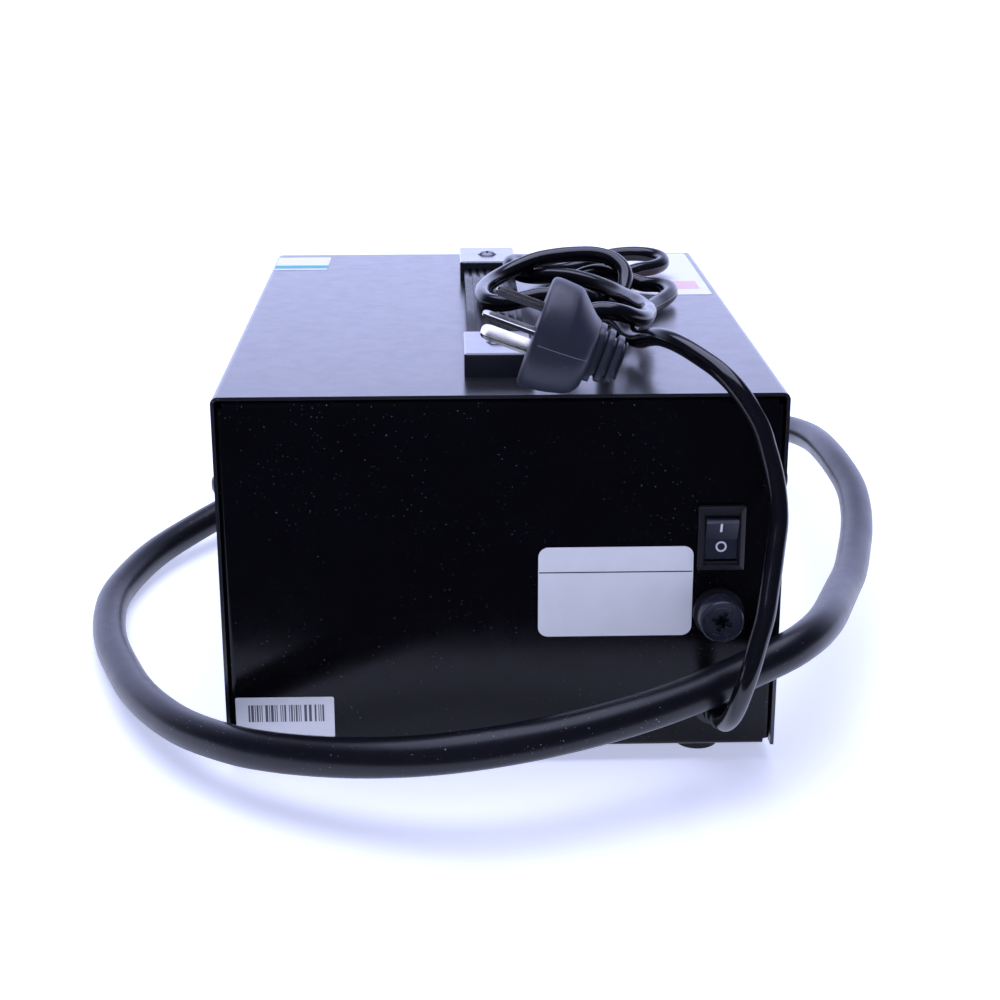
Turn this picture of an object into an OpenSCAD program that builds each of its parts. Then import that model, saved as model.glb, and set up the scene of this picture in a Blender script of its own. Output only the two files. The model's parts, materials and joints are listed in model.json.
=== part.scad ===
// Hot air rework station with a bench case, a carrying strap, a mains lead and an air hose with its handpiece.
// Millimetres. Z is up, the front panel faces -Y, and the origin is on the bench in the middle of the four feet.

/* [Case] */
// Width over the cover's two sides
case_w = 187; // [175:1:215]
// Depth from the front edge to the rear edge
case_d = 249; // [235:1:280]
// Height of the case without its feet
case_h = 125; // [120:1:150]
// Thickness of the sheet steel
sheet_t = 1.2; // [0.8:0.1:1.6]
// Outside radius of the bends in the sheet
bend_r = 2.4; // [2:0.1:4]
// Depth of the flanges that turn in from the two panels
flange_d = 15; // [13:0.5:20]
// Gap between each end panel and the sides of the cover
side_gap = 0.2; // [0.1:0.05:0.3]
// Gap between the top of each end panel and the cover
top_gap = 0.2; // [0.1:0.05:0.3]

/* [Vents] */
// Number of slots in each side of the cover
side_slots = 9; // [5:1:12]
// Length of a slot
slot_l = 30; // [16:1:40]
// Width of a slot
slot_w = 3; // [2:0.5:4]
// Distance from slot to slot
slot_pitch = 8; // [6:0.5:10]

/* [Cover screws] */
// Diameter of a screw's thread
screw_d = 3; // [2.5:0.5:4]
// Diameter of a screw's pan head
screw_head_d = 6; // [5.5:0.5:8]
// Height of a screw's pan head
screw_head_h = 1.8; // [1.4:0.1:2.4]
// Distance of the screws from the case's front and rear edges
screw_in = 9.5; // [8:0.5:11]
// Height of the screws above the case's underside
screw_z = 93; // [60:1:100]

/* [Feet] */
// Height of a rubber foot
foot_h = 6; // [5:0.5:12]
// Diameter of a rubber foot
foot_d = 14.5; // [12:0.5:20]
// Distance of each foot's centre from the side of the case
foot_in_x = 24.5; // [18:0.5:35]
// Distance of each foot's centre from the front or rear edge
foot_in_y = 17; // [12:0.5:30]

/* [Carrying strap] */
// Length over the two end caps
handle_l = 198; // [170:1:215]
// How far the strap's middle lies behind the case's middle
handle_y = 2; // [-5:0.5:5]
// Length of an end cap
cap_l = 34; // [30:1:40]
// Width of an end cap
cap_w = 23.5; // [22:0.5:28]
// Height of an end cap
cap_h = 8; // [8:0.5:11]
// Width of the rubber strap
strap_w = 20; // [16:0.5:21]
// Thickness of the rubber strap under its ribs
strap_t = 2.6; // [2:0.1:3]
// Height of the strap's ribs
rib_h = 0.7; // [0.4:0.1:1]
// Number of ribs along the strap
rib_n = 7; // [4:1:9]

/* [Rear panel] */
// Distance of the switch, the fuse and the lead from the side of the case
rear_in_x = 21; // [19:0.5:26]
// Height of the switch above the case's underside
switch_z = 76; // [74:0.5:100]
// Width of the switch's frame
switch_w = 15.5; // [15:0.5:18]
// Height of the switch's frame
switch_h = 22; // [21:0.5:25]
// Angle through which the rocker tips
rocker_throw = 22; // [16:1:24]
// Height of the fuse holder above the case's underside
fuse_z = 49.5; // [46:0.5:52]
// Diameter of the fuse holder's flange
fuse_flange_d = 17; // [16:0.5:19]
// Diameter of the fuse holder's cap
fuse_cap_d = 14.5; // [13:0.5:16]
// Height of the lead's strain relief above the case's underside
gland_z = 17; // [16:0.5:20]

/* [Front panel] */
// Height of the display and the two keys above the case's underside
display_z = 88; // [80:1:95]
// Width of the display's window
window_w = 56; // [50:1:64]
// Height of the display's window
window_h = 28; // [24:1:34]
// Distance of the display's middle from the case's middle
display_x = 28; // [20:1:34]
// Diameter of a key
key_d = 8; // [6:0.5:10]
// Distance between the two keys
key_pitch = 24; // [20:1:30]
// Travel of a key
key_travel = 0.8; // [0.3:0.1:1]
// Height of the airflow knob above the case's underside
knob_z = 38; // [34:1:44]
// Distance of the airflow knob from the side of the case
knob_in_x = 43.5; // [36:0.5:50]
// Diameter of the airflow knob
knob_d = 26; // [20:1:34]
// Height of the airflow knob
knob_h = 16; // [13:1:20]

/* [Air hose] */
// Diameter of the air hose
hose_d = 13; // [11:0.5:14]
// Distance of the hose outlet from the side of the case
outlet_in_x = 41.5; // [40:0.5:46]
// Height of the hose outlet above the case's underside
outlet_z = 29; // [27:1:31]
// Diameter of the outlet's flange
outlet_flange_d = 30; // [28:1:36]

/* [Handpiece] */
// Radius of the grip at its two ends, on which it lies
grip_r = 17; // [16:0.5:20]
// Radius of the grip's waist
waist_r = 14.4; // [13:0.1:15]
// Length of the grip
grip_l = 118; // [100:1:140]
// Wall of the grip
grip_wall = 2.2; // [1.6:0.1:2.6]
// Diameter of the steel heater tube, over which a nozzle clamps
tube_d = 22; // [20:0.5:24]
// Wall of the heater tube
tube_wall = 0.6; // [0.4:0.1:1]
// Length of the heater tube in front of the grip's collar
tube_out = 64; // [50:1:90]
// Length of the tube's front end, on which the nozzle sits
nozzle_seat = 22; // [18:1:26]
// Length of the vented collar
collar_l = 12; // [9:1:18]

/* [Air pump] */
// Length of the pump over its two valve heads
pump_l = 112; // [108:1:116]
// Width of the pump's tray
pump_w = 70; // [66:1:80]
// Height of the rubber mounts under the pump
mount_h = 10; // [8:1:14]

/* [Mains lead] */
// Diameter of the mains lead
lead_d = 6.3; // [5.5:0.1:6.5]
// Diameter of the plug's face
plug_d = 37; // [34:0.5:38]
// Width of the oval coil that lies on the case
coil_w = 72; // [64:1:76]
// Height of the coil
coil_h = 18; // [14:1:22]

/* [Hidden] */
$fn = 64;

// How far a cutting shape reaches past the face that it opens
over = 1;
// Gap round a thing that lies in a pocket
ease = 0.1;
// Gap round a thing that turns or slides
play = 0.2;

// Heights of the case's underside and top above the bench
case_z = foot_h;
top_z = foot_h + case_h;
// Half of the case's width and depth
half_w = case_w / 2;
half_d = case_d / 2;
// Outer faces of the flanges at the sides, and the upper edge of both end panels
in_w = half_w - sheet_t - side_gap;
panel_top = top_z - sheet_t - top_gap;
// Upper face of the floor
floor_z = case_z + sheet_t;
// Height of the flanges along the floor, and the gap at their ends
low_flange = 10;
relief = 1.5;
// Inner face of each end panel
in_d = half_d - sheet_t;

// Clearance of the screw holes in the cover and in the sheet below it
hole_d = screw_d + 0.4;
thread_hole_d = screw_d + 0.1;
// Length of a cover screw's thread
cover_screw_l = 6;
screw_y = half_d - screw_in;
screw_level = case_z + screw_z;

// Places of the feet
foot_x = half_w - foot_in_x;
foot_y = half_d - foot_in_y;
// Washer on a foot's stem, over the flange of the front panel, and the stem's top
clip_z = floor_z + sheet_t;
clip_t = 0.8;
clip_d = 7;
stem_top = clip_z + clip_t + 1.2;

// The strap's seat in its caps, and how far its middle stands up
cap_in = handle_l / 2 - cap_l;
cap_out = handle_l / 2;
cap_mid = (cap_in + cap_out) / 2;
cap_floor = 1.3;
strap_seat = 1.4;
strap_lift = 3.2;
strap_end = cap_in + 25;
strap_full_t = strap_t + rib_h;
rise_l = 34;
rib_w = 1.7;
strap_screw_d = 4;
strap_head_d = 7.6;
strap_head_h = 2.2;
strap_recess = 1.2;
strap_nut_af = 7;
strap_nut_h = 3.2;

// The column of switch, fuse and lead on the rear panel
rear_x = -(half_w - rear_in_x);
switch_level = case_z + switch_z;
fuse_level = case_z + fuse_z;
gland_level = case_z + gland_z;
switch_body_w = switch_w - 2.7;
switch_body_h = switch_h - 3.2;
switch_body_l = 16;
bezel_h = 2;
cutout_gap = 0.2;
rocker_w = 10.6;
rocker_r = 7.8;
rocker_sink = 1.2;
rocker_valley = 2.6;
axle_d = 2;
tab_w = 4.8;
tab_t = 0.8;
tab_l = 8;

// Fuse holder: barrel, its bore, and the glass fuse held by the cap's neck
barrel_d = 12;
barrel_l = 24;
fuse_bore_d = 9.8;
fuse_flange_h = 2.5;
neck_d = 9.4;
fuse_d = 5.2;
fuse_l = 20;
cap_gap = 0.3;
fuse_cap_h = 9;
neck_l = 5.3;
fuse_grip = 3;
fuse_nut_af = 16;
fuse_nut_h = 2.5;
fuse_cap_y = half_d + fuse_flange_h + cap_gap;
neck_y = fuse_cap_y - neck_l;
fuse_y = neck_y + fuse_grip;

// Strain relief of the lead
gland_l = 15.5;
gland_flange_d = 16;
gland_neck_d = 12.4;
gland_y = half_d + gland_l;

// Front panel: openings and the things behind them
overlay_t = 0.4;
front_y = -half_d;
back_y = -in_d;
face_y = front_y - overlay_t;
overlay_in = 7.5;
display_level = case_z + display_z;
window_proud = 0.2;
window_rim = 2;
window_rim_t = 1;
window_back = back_y + window_rim_t;
module_w = window_w - 4;
module_h = window_h - 4;
module_gap = 0.2;
board_y = back_y + 11.3;
board_t = 1.6;
board_w = 128;
board_h = 46;
board_x = 3;
key_left = display_x - window_w / 2 - key_pitch * 1.75;
key_proud = 3;
key_flange_d = key_d + 2.4;
key_flange_t = 1.2;
key_rest = 0.2;
plunger_d = 5;
tact_w = 6;
tact_h = 3.5;
tact_nub = 1.2;
knob_x = half_w - knob_in_x;
knob_level = case_z + knob_z;
knob_gap = 1;
knob_y = face_y - knob_gap;
shaft_d = 6;
bushing_d = 7;
pot_d = 17;
pot_l = 10;
bushing_l = 5;
pot_nut_af = 10;
pot_nut_h = 2;
shaft_in = 9.3;
shaft_front = knob_y - knob_h + 2;
flute_n = 18;
flute_d = 2.4;

// Hose outlet: flange outside, nut inside, rubber sleeve over the hose's end
outlet_x = half_w - outlet_in_x;
outlet_level = case_z + outlet_z;
outlet_barrel_d = 20;
outlet_flange_t = 3;
outlet_in = 16;
outlet_nut_af = 27;
outlet_nut_h = 5;
boot_l = 22;
boot_end_r = hose_d / 2 + 1.5;
boot_root_r = hose_d / 2 + 5;
boot_y = face_y - outlet_flange_t;
boot_tip = boot_y - boot_l;
barb_d = 7;
barb_l = 8;
barb_y = back_y + outlet_in + barb_l;

// Handpiece: the place where the hose enters it, and its heading on the bench
tool_x = 84;
tool_y = -half_d - 25.5;
tool_turn = 216.87;
tool_boot_l = 22;
grip_s = tool_boot_l;
grip_end = grip_s + grip_l;
grip_wall_end = 4;
collar_end = grip_end + collar_l;
collar_r = grip_r - 1.5;
tube_start = grip_end - 8;
tube_tip = collar_end + tube_out;
tube_seat = 0.15;
tube_step = 0.4;
waist = grip_r - waist_r;
core_s = collar_end + 8;
core_l = 44;
grille_t = 1;
grille_in = 3;
tool_screw_d = 2.6;
tool_head_d = 5;

// Air pump, the middle of its tray and the parts of it
pump_side_gap = 10;
pump_x = half_w - pump_side_gap - pump_l / 2;
pump_y = 42;
tray_z = floor_z + mount_h;
tray_t = 3;
deck_z = tray_z + tray_t;
head_t = 16;
head_h = 46;
head_w = 44;
chamber_d = 34;
chamber_l = 8;
axis_z = deck_z + head_h / 2;
disc_hole_d = 13;
stem_d = 11;
arm_x = 27;
arm_t = 4;
arm_pivot = -29;
magnet_gap = 1.5;
core_w = 2 * (arm_x - arm_t / 2 - 4 - magnet_gap);
core_h = 34;
core_stack = 22;
// Core of the pump: depth of its slots, its outer limbs and its middle limb, and the winding's overhang
slot_in = 12;
limb_edge = 6;
limb_mid = 6;
winding_over = 10;
pin_d = 3;

// Transformer, main board and what stands on it
trafo_w = 44;
trafo_side_gap = 4;
trafo_x = -(half_w - trafo_side_gap - trafo_w / 2);
trafo_y = 38;
trafo_h = 40;
trafo_stack = 20;
limb = 8;
foot_plate = 1.5;
pcb_x = 0;
pcb_y = -62;
pcb_w = 150;
pcb_l = 66;
pcb_t = 1.6;
pcb_z = floor_z + 8;
pcb_top = pcb_z + pcb_t;
pcb_in = 5;
spacer_d = 6;
spacer_nut = 2;
// Heatsink on the main board: place, plate and fins
sink_at = [pcb_x + 30, pcb_y + 18, 0];
sink_h = 26;
sink_plate = [44, 3];
sink_fin = [1.4, 8];
sink_pitch = 5;
sink_fins = 4;
// Parts on the main board, each as [x, y, width, depth, height] from the board's middle
triac_1 = [22, 14, 10, 5, 16];
triac_2 = [38, 14, 10, 5, 16];
terminals = [-51, 12, 30, 12, 12];
relay = [-2, 2, 20, 16, 15];
controller = [28, -20, 36, 12, 4];
tall_cap_at = [-24, 58];
tall_cap_y = -4;
tall_cap_h = 20;
tall_cap_d = 12;

// Mains lead: offsets of its route from the strain relief's tip and from the case's rear upper edge
lead_from_gland = [
  [0, 0, 0], [0, 5, 0], [-0.5, 13.5, 3], [-1, 21, 8.5], [-2, 26, 16], [-3.5, 28, 24.5], [-6, 26.5, 34]
];
lead_over_edge = [
  [-9.5, 35.5, -63], [-13.5, 24.5, -48.5], [-16, 16.5, -37], [-15.6, 12, -27.7], [-12.6, 9.5, -16.4],
  [-9.4, 8.5, -6.7], [-3, 4.5, 2.5], [4, -3.5, 8.5], [12.5, -16, 12], [20, -32, 11.5],
  [26.5, -47.5, 10.5], [31.5, -62.5, 10], [35.5, -75.5, 11], [38.5, -83.5, 11.5]
];
lead_route = concat(
  [for (p = lead_from_gland) [rear_x, gland_y, gland_level] + p],
  [for (p = lead_over_edge) [rear_x, half_d, top_z] + p]
);

// Oval coil of the lead, leaning on the strap: turn of its long axis, half its straight sides, and its opening
coil_lean = 7;
coil_turn = -23;
coil_x = -33;
coil_y = -8;
coil_half = 27;
coil_hole_r = 14;
coil_lift = 0.3;
coil_reach = coil_w / 2 + coil_half * sin(abs(coil_turn));
coil_under = top_z + coil_lift + coil_reach * sin(coil_lean);

// Plug: middle of its face, tilt up and turn of its pins
plug_at = [-10.6, half_d - 1.1, top_z + 21];
plug_tilt = 19.6;
plug_turn = -6.1;
plug_rim = 11;
plug_cone = 9;
plug_back_d = 22;
neck_len = 10;
neck_h = 19;
neck_w = 15;
pin_w = 6.3;
pin_t = 1.6;
pin_l = 18;
tail_boot_l = 12;
tail_route = [
  [-35, half_d - 19, top_z + 11.3], [-36, half_d - 31, top_z + 8.2], [-37.5, half_d - 46, top_z + 5],
  [-40, half_d - 60.5, top_z + 3.4], [-44, half_d - 72.5, top_z + 3.6], [-47, half_d - 80.5, top_z + 5],
  [-48, half_d - 87, top_z + 7.5]
];

// Air hose: offsets of its route from the outlet, the left side, the rear panel, the right side and the handpiece
hose_from_outlet = [
  [0, 0, 0], [0, -12, 0], [-4, -32, -1.2], [-15.5, -49, -4], [-32.5, -60.5, -7],
  [-52.5, -64.5, -8.5], [-72.5, -60.5, -8.5], [-89.5, -49, -7], [-100.5, -32, -4]
];
hose_at_left = [
  [-63.5, -162, -1], [-65, -141, 1.8], [-65, -118, 4], [-65, -92, 5], [-64.5, -62, 4.4],
  [-61.5, -36.5, 3.3], [-56.5, -11, 2.1], [-50, 14, 1.3], [-43, 39, 1.3], [-34.5, 63.5, 3.7],
  [-26, 87.5, 7.3]
];
hose_at_rear = [
  [-114, -20.5, 44.4], [-106.5, -4.5, 45.4], [-96.5, 8.1, 44.9], [-83.6, 16.9, 42.8], [-69, 25.5, 40.1],
  [-53.6, 34, 38], [-38, 41.5, 36.4], [-21.5, 48, 35], [-4.7, 52.3, 33.4], [13, 53.5, 31.2],
  [29.5, 51, 28.5], [46, 46, 25.8], [61.5, 39, 23.2], [76, 30.5, 20.8], [89.5, 20, 18.5], [107, 1, 15.4],
  [121, -21, 12.8]
];
hose_at_right = [
  [38.5, 80.5, 10.5], [47.5, 56, 8.7], [55.5, 31.5, 7.3], [61, 6.5, 6.6], [63.5, -19.5, 6.8],
  [60.5, -45, 7.5], [53.5, -70, 8.8], [42, -93, 10.6], [27.5, -114.5, 13.3]
];
hose_to_tool = [[20, 16.5, -1], [8, 6, 0], [0, 0, 0]];
hose_route = concat(
  [for (p = hose_from_outlet) [-outlet_x, boot_tip, outlet_level] + p],
  [for (p = hose_at_left) [-half_w, 0, outlet_level] + p],
  [for (p = hose_at_rear) [0, half_d, 0] + p],
  [for (p = hose_at_right) [half_w, 0, 0] + p],
  [for (p = hose_to_tool) [tool_x, tool_y, grip_r] + p]
);

// Air tube from the pump's manifold to the hose outlet
tube_from = [pump_x - 30, pump_y - pump_w / 2 - 6, deck_z + 8];
inner_tube_d = 8;
inner_route = [
  tube_from, tube_from + [0, -6, 0], tube_from + [-3, -14, 3], tube_from + [-12, -25, 10], [-40, -30, 42],
  [-outlet_x, -60, outlet_level + 3], [-outlet_x, barb_y + 8, outlet_level], [-outlet_x, barb_y, outlet_level]
];

// Direction of a vector
function unit(v) = v / norm(v);
// Heading of a route at one of its points
function heading(p, i) = unit(p[min(i + 1, len(p) - 1)] - p[max(i - 1, 0)]);
// Points of a ring round a route's point
function ring(p, i, up, r, n) =
  let (t = heading(p, i))
  let (s = unit(cross(t, up)))
  let (q = cross(s, t))
  [for (k = [0 : n - 1]) p[i] + r * cos(360 * k / n) * s + r * sin(360 * k / n) * q];
// Stand-up of the strap at a distance from its middle
function ramp(u) = u * u * (3 - 2 * u);
function strap_rise(y) = strap_lift * ramp(min(1, max(0, (cap_in - 2 - abs(y)) / rise_l)));

// A tube along a route, with its first and last ring closed
module tube_along(p, up, d, n) {
  last = len(p) - 1;
  points = [for (i = [0 : last]) each ring(p, i, up, d / 2, n)];
  near = [for (i = [0 : last - 1], k = [0 : n - 1]) [i * n + k, i * n + (k + 1) % n, (i + 1) * n + (k + 1) % n]];
  far = [for (i = [0 : last - 1], k = [0 : n - 1]) [i * n + k, (i + 1) * n + (k + 1) % n, (i + 1) * n + k]];
  first_end = [for (k = [n - 1 : -1 : 0]) k];
  last_end = [for (k = [0 : n - 1]) last * n + k];
  polyhedron(points = points, faces = concat(near, far, [first_end], [last_end]));
}

// A section drawn in Y and Z, between two places on X
module across(x0, x1) {
  translate([x0, 0, 0])
    rotate([90, 0, 90])
      linear_extrude(height = x1 - x0) children();
}

// A section drawn in X and Z, between two places on Y
module lengthwise(y0, y1) {
  translate([0, y1, 0])
    rotate([90, 0, 0])
      linear_extrude(height = y1 - y0) children();
}

// A section drawn in X and Y, between two heights
module upright(z0, z1) {
  translate([0, 0, z0])
    linear_extrude(height = z1 - z0) children();
}

// Round bars along each axis
module rod_x(x0, x1, d) {
  translate([x0, 0, 0])
    rotate([0, 90, 0])
      cylinder(h = x1 - x0, d = d);
}

module rod_y(y0, y1, d) {
  translate([0, y0, 0])
    rotate([-90, 0, 0])
      cylinder(h = y1 - y0, d = d);
}

module rod_z(z0, z1, d) {
  translate([0, 0, z0])
    cylinder(h = z1 - z0, d = d);
}

// A block between two corners
module block(a, b) {
  translate(a)
    cube(b - a);
}

// A rectangle with round corners
module soft_rect(w, h, r) {
  square([w, h - 2 * r], center = true);
  square([w - 2 * r, h], center = true);
  for (sx = [-1, 1], sy = [-1, 1])
    translate([sx * (w / 2 - r), sy * (h / 2 - r)])
      circle(r = r);
}

// An upright slot with round ends
module slot(l, w) {
  square([w, l - w], center = true);
  for (s = [-1, 1])
    translate([0, s * (l - w) / 2])
      circle(d = w);
}

module hexagon(af) {
  circle(d = af / cos(30), $fn = 6);
}

// Section of a sheet bend, with its middle at the origin
module bend() {
  intersection() {
    difference() {
      circle(r = bend_r);
      circle(r = bend_r - sheet_t);
    }
    square(bend_r + over);
  }
}

// Section of an upright panel with its lips turned towards +X at the foot and at the top
module lipped_panel(h, foot, lip) {
  translate([0, bend_r])
    square([sheet_t, h - 2 * bend_r]);
  translate([bend_r, h - bend_r])
    mirror([1, 0])
      bend();
  translate([bend_r, bend_r])
    rotate(180)
      bend();
  translate([bend_r, 0])
    square([foot - bend_r, sheet_t]);
  translate([bend_r, h - sheet_t])
    square([lip - bend_r, sheet_t]);
}

// Section of the two flanges that a panel turns towards +Y at its sides
module side_flanges(depth) {
  for (s = [0, 1])
    mirror([s, 0]) {
      translate([in_w - bend_r, bend_r])
        rotate(-90)
          bend();
      translate([in_w - sheet_t, bend_r])
        square([sheet_t, depth - bend_r]);
    }
}

// Screw holes through both side flanges of a panel
module flange_holes(y) {
  translate([0, y, screw_level])
    rod_x(-half_w, half_w, thread_hole_d);
}

module chassis() {
  color([0.10, 0.10, 0.11])
    difference() {
      union() {
        translate([0, half_d, case_z])
          mirror([0, 1, 0])
            across(-(in_w - bend_r), in_w - bend_r)
              lipped_panel(panel_top - case_z, case_d, flange_d);
        translate([0, half_d, 0])
          mirror([0, 1, 0])
            upright(case_z + bend_r, panel_top - bend_r)
              side_flanges(flange_d);
        translate([0, 0, case_z])
          lengthwise(-half_d + flange_d + relief, half_d - flange_d - relief)
            side_flanges(low_flange);
      }
      flange_holes(screw_y);
      for (sx = [-1, 1], sy = [-1, 1])
        translate([sx * foot_x, sy * foot_y, 0])
          rod_z(case_z - over, floor_z + over, thread_hole_d);
      translate([rear_x, 0, switch_level])
        lengthwise(in_d - over, half_d + over)
          square([switch_body_w + cutout_gap, switch_body_h + cutout_gap], center = true);
      translate([rear_x, 0, fuse_level])
        rod_y(in_d - over, half_d + over, barrel_d + 2 * ease);
      translate([rear_x, 0, gland_level])
        rod_y(in_d - over, half_d + over, gland_neck_d + 2 * ease);
      for (k = [-3 : 4])
        translate([pump_x - 4 + k * slot_pitch, pump_y, 0])
          upright(case_z - over, floor_z + over)
            slot(slot_l, slot_w);
    }
}

module front_panel() {
  color([0.10, 0.10, 0.11])
    difference() {
      union() {
        translate([0, -half_d, floor_z])
          across(-(in_w - bend_r), in_w - bend_r)
            lipped_panel(panel_top - floor_z, flange_d, flange_d);
        translate([0, -half_d, 0])
          upright(floor_z + bend_r, panel_top - bend_r)
            side_flanges(flange_d);
      }
      flange_holes(-screw_y);
      front_openings(0);
    }
}

// Openings that the panel and the sheet on its face share
module front_openings(extra) {
  translate([display_x, 0, display_level])
    lengthwise(face_y - over, back_y + over)
      square([window_w + 2 * ease, window_h + 2 * ease], center = true);
  for (k = [0, 1])
    translate([key_left + k * key_pitch, 0, display_level])
      rod_y(face_y - over, back_y + over, key_d + 2 * play + extra);
  translate([knob_x, 0, knob_level])
    rod_y(face_y - over, back_y + over, bushing_d + 2 * ease + extra);
  translate([-outlet_x, 0, outlet_level])
    rod_y(face_y - over, back_y + over, outlet_barrel_d + 2 * play + extra);
}

module front_overlay() {
  color([0.16, 0.17, 0.19])
    difference() {
      translate([0, 0, (floor_z + panel_top) / 2])
        lengthwise(face_y, front_y)
          soft_rect(case_w - 2 * overlay_in, panel_top - floor_z - overlay_in, 3);
      front_openings(0.2);
    }
}

module top_cover() {
  color([0.08, 0.08, 0.09])
    difference() {
      lengthwise(-half_d, half_d)
        cover_section();
      for (sx = [-1, 1], k = [0 : side_slots - 1])
        translate([0, (k - (side_slots - 1) / 2) * slot_pitch, case_z + 12 + slot_l / 2])
          mirror([sx < 0 ? 1 : 0, 0, 0])
            across(half_w - sheet_t - over, half_w + over)
              slot(slot_l, slot_w);
      for (sy = [-1, 1]) {
        translate([0, sy * screw_y, screw_level])
          rod_x(-half_w - over, half_w + over, hole_d);
        translate([0, handle_y + sy * cap_mid, 0])
          rod_z(top_z - sheet_t - over, top_z + over, strap_screw_d + play);
      }
    }
}

// Section of the cover: two sides and a top with round bends
module cover_section() {
  for (s = [0, 1])
    mirror([s, 0]) {
      translate([half_w - sheet_t, case_z])
        square([sheet_t, case_h - bend_r]);
      translate([half_w - bend_r, top_z - bend_r])
        bend();
    }
  translate([-(half_w - bend_r), top_z - sheet_t])
    square([case_w - 2 * bend_r, sheet_t]);
}

// A pan head screw pointing to +Z from a seat at the origin, with a cross in its head
module pan_screw(d, l, head_d, head_h) {
  difference() {
    union() {
      rod_z(0, l, d);
      rod_z(-head_h * 0.6, 0, head_d);
      translate([0, 0, -head_h])
        cylinder(h = head_h * 0.4, d1 = head_d * 0.7, d2 = head_d);
    }
    for (a = [0, 90])
      rotate(a)
        translate([-head_d * 0.28, -head_d * 0.06, -head_h - over])
          cube([head_d * 0.56, head_d * 0.12, over + head_h * 0.45]);
  }
}

module cover_screws() {
  color([0.15, 0.15, 0.16])
    for (sx = [-1, 1], sy = [-1, 1])
      translate([sx * half_w, sy * screw_y, screw_level])
        rotate([0, -90 * sx, 0])
          pan_screw(screw_d, cover_screw_l, screw_head_d, screw_head_h);
}

module feet() {
  color([0.05, 0.05, 0.05])
    for (sx = [-1, 1], sy = [-1, 1])
      translate([sx * foot_x, sy * foot_y, 0]) {
        rod_z(0, foot_h, foot_d);
        rod_z(foot_h - over, stem_top, screw_d);
      }
}

// Spring washers that hold the stems of the feet above the floor
module foot_clips() {
  color([0.55, 0.55, 0.56])
    for (sx = [-1, 1], sy = [-1, 1])
      translate([sx * foot_x, sy * foot_y, 0])
        difference() {
          rod_z(clip_z, clip_z + clip_t, clip_d);
          rod_z(clip_z - over, clip_z + clip_t + over, screw_d + ease / 2);
        }
}

// One end cap of the strap, drawn at the rear
module handle_cap() {
  difference() {
    intersection() {
      translate([0, cap_mid, 0])
        upright(top_z, top_z + cap_h)
          soft_rect(cap_w, cap_l, 1.5);
      translate([0, cap_mid, top_z])
        across(-cap_w / 2, cap_w / 2)
          soft_rect(cap_l, 2 * cap_h, 1);
      translate([0, 0, top_z])
        lengthwise(cap_in, cap_out)
          soft_rect(cap_w, 2 * cap_h, 1);
    }
    block([-strap_w / 2 - play, cap_in - over, top_z + cap_floor],
      [strap_w / 2 + play, strap_end + play, top_z + strap_seat + strap_full_t + 0.15]);
    translate([0, cap_mid, 0]) {
      rod_z(top_z - over, top_z + cap_h + over, strap_screw_d + play);
      rod_z(top_z + cap_h - strap_recess, top_z + cap_h + over, strap_head_d + 2 * play);
    }
  }
}

module handle_cap_rear() {
  color([0.07, 0.07, 0.07])
    translate([0, handle_y, 0])
      handle_cap();
}

module handle_cap_front() {
  color([0.07, 0.07, 0.07])
    translate([0, handle_y, 0])
      mirror([0, 1, 0])
        handle_cap();
}

// Side view of the strap between two heights above its underside
module strap_side(low, high) {
  steps = 40;
  ys = [for (i = [0 : steps]) -strap_end + 2 * strap_end * i / steps];
  lower = [for (y = ys) [y, strap_rise(y) + low]];
  upper = [for (i = [steps : -1 : 0]) [ys[i], strap_rise(ys[i]) + high]];
  polygon(concat(lower, upper));
}

module handle_strap() {
  rib_pitch = (strap_w - rib_w) / (rib_n - 1);
  color([0.06, 0.06, 0.06])
    translate([0, handle_y, top_z + strap_seat])
      difference() {
        union() {
          across(-strap_w / 2, strap_w / 2)
            strap_side(0, strap_t);
          for (k = [0 : rib_n - 1])
            translate([-strap_w / 2 + k * rib_pitch, 0, 0])
              across(0, rib_w)
                strap_side(strap_t / 2, strap_full_t);
        }
        for (s = [-1, 1])
          translate([0, s * cap_mid, 0])
            rod_z(-over, strap_full_t + over, strap_screw_d + play);
      }
}

module handle_screws() {
  color([0.20, 0.20, 0.21])
    for (s = [-1, 1])
      translate([0, handle_y + s * cap_mid, top_z + cap_h - strap_recess])
        mirror([0, 0, 1])
          pan_screw(strap_screw_d, cap_h + sheet_t + strap_nut_h, strap_head_d, strap_head_h);
}

module handle_nuts() {
  color([0.70, 0.70, 0.70])
    for (s = [-1, 1])
      translate([0, handle_y + s * cap_mid, 0])
        difference() {
          upright(top_z - sheet_t - strap_nut_h, top_z - sheet_t)
            hexagon(strap_nut_af);
          rod_z(top_z - sheet_t - strap_nut_h - over, top_z, strap_screw_d + ease);
        }
}

module power_switch_body() {
  wall_w = rocker_w + 2 * play;
  wall_h = 2 * rocker_r + 2 * play;
  color([0.06, 0.06, 0.06])
    translate([rear_x, 0, switch_level]) {
      difference() {
        union() {
          lengthwise(half_d, half_d + bezel_h)
            soft_rect(switch_w, switch_h, 1);
          lengthwise(half_d - switch_body_l, half_d)
            square([switch_body_w, switch_body_h], center = true);
        }
        lengthwise(half_d - rocker_sink - rocker_r - play, half_d + bezel_h + over)
          square([wall_w, wall_h], center = true);
        translate([0, half_d - rocker_sink, 0])
          rod_x(-rocker_w / 2 - 1, rocker_w / 2 + 1, axle_d + ease);
      }
      for (k = [-1, 1])
        block([-tab_w / 2, half_d - switch_body_l - tab_l, k * 5 - tab_t / 2],
          [tab_w / 2, half_d - switch_body_l, k * 5 + tab_t / 2]);
    }
}

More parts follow.
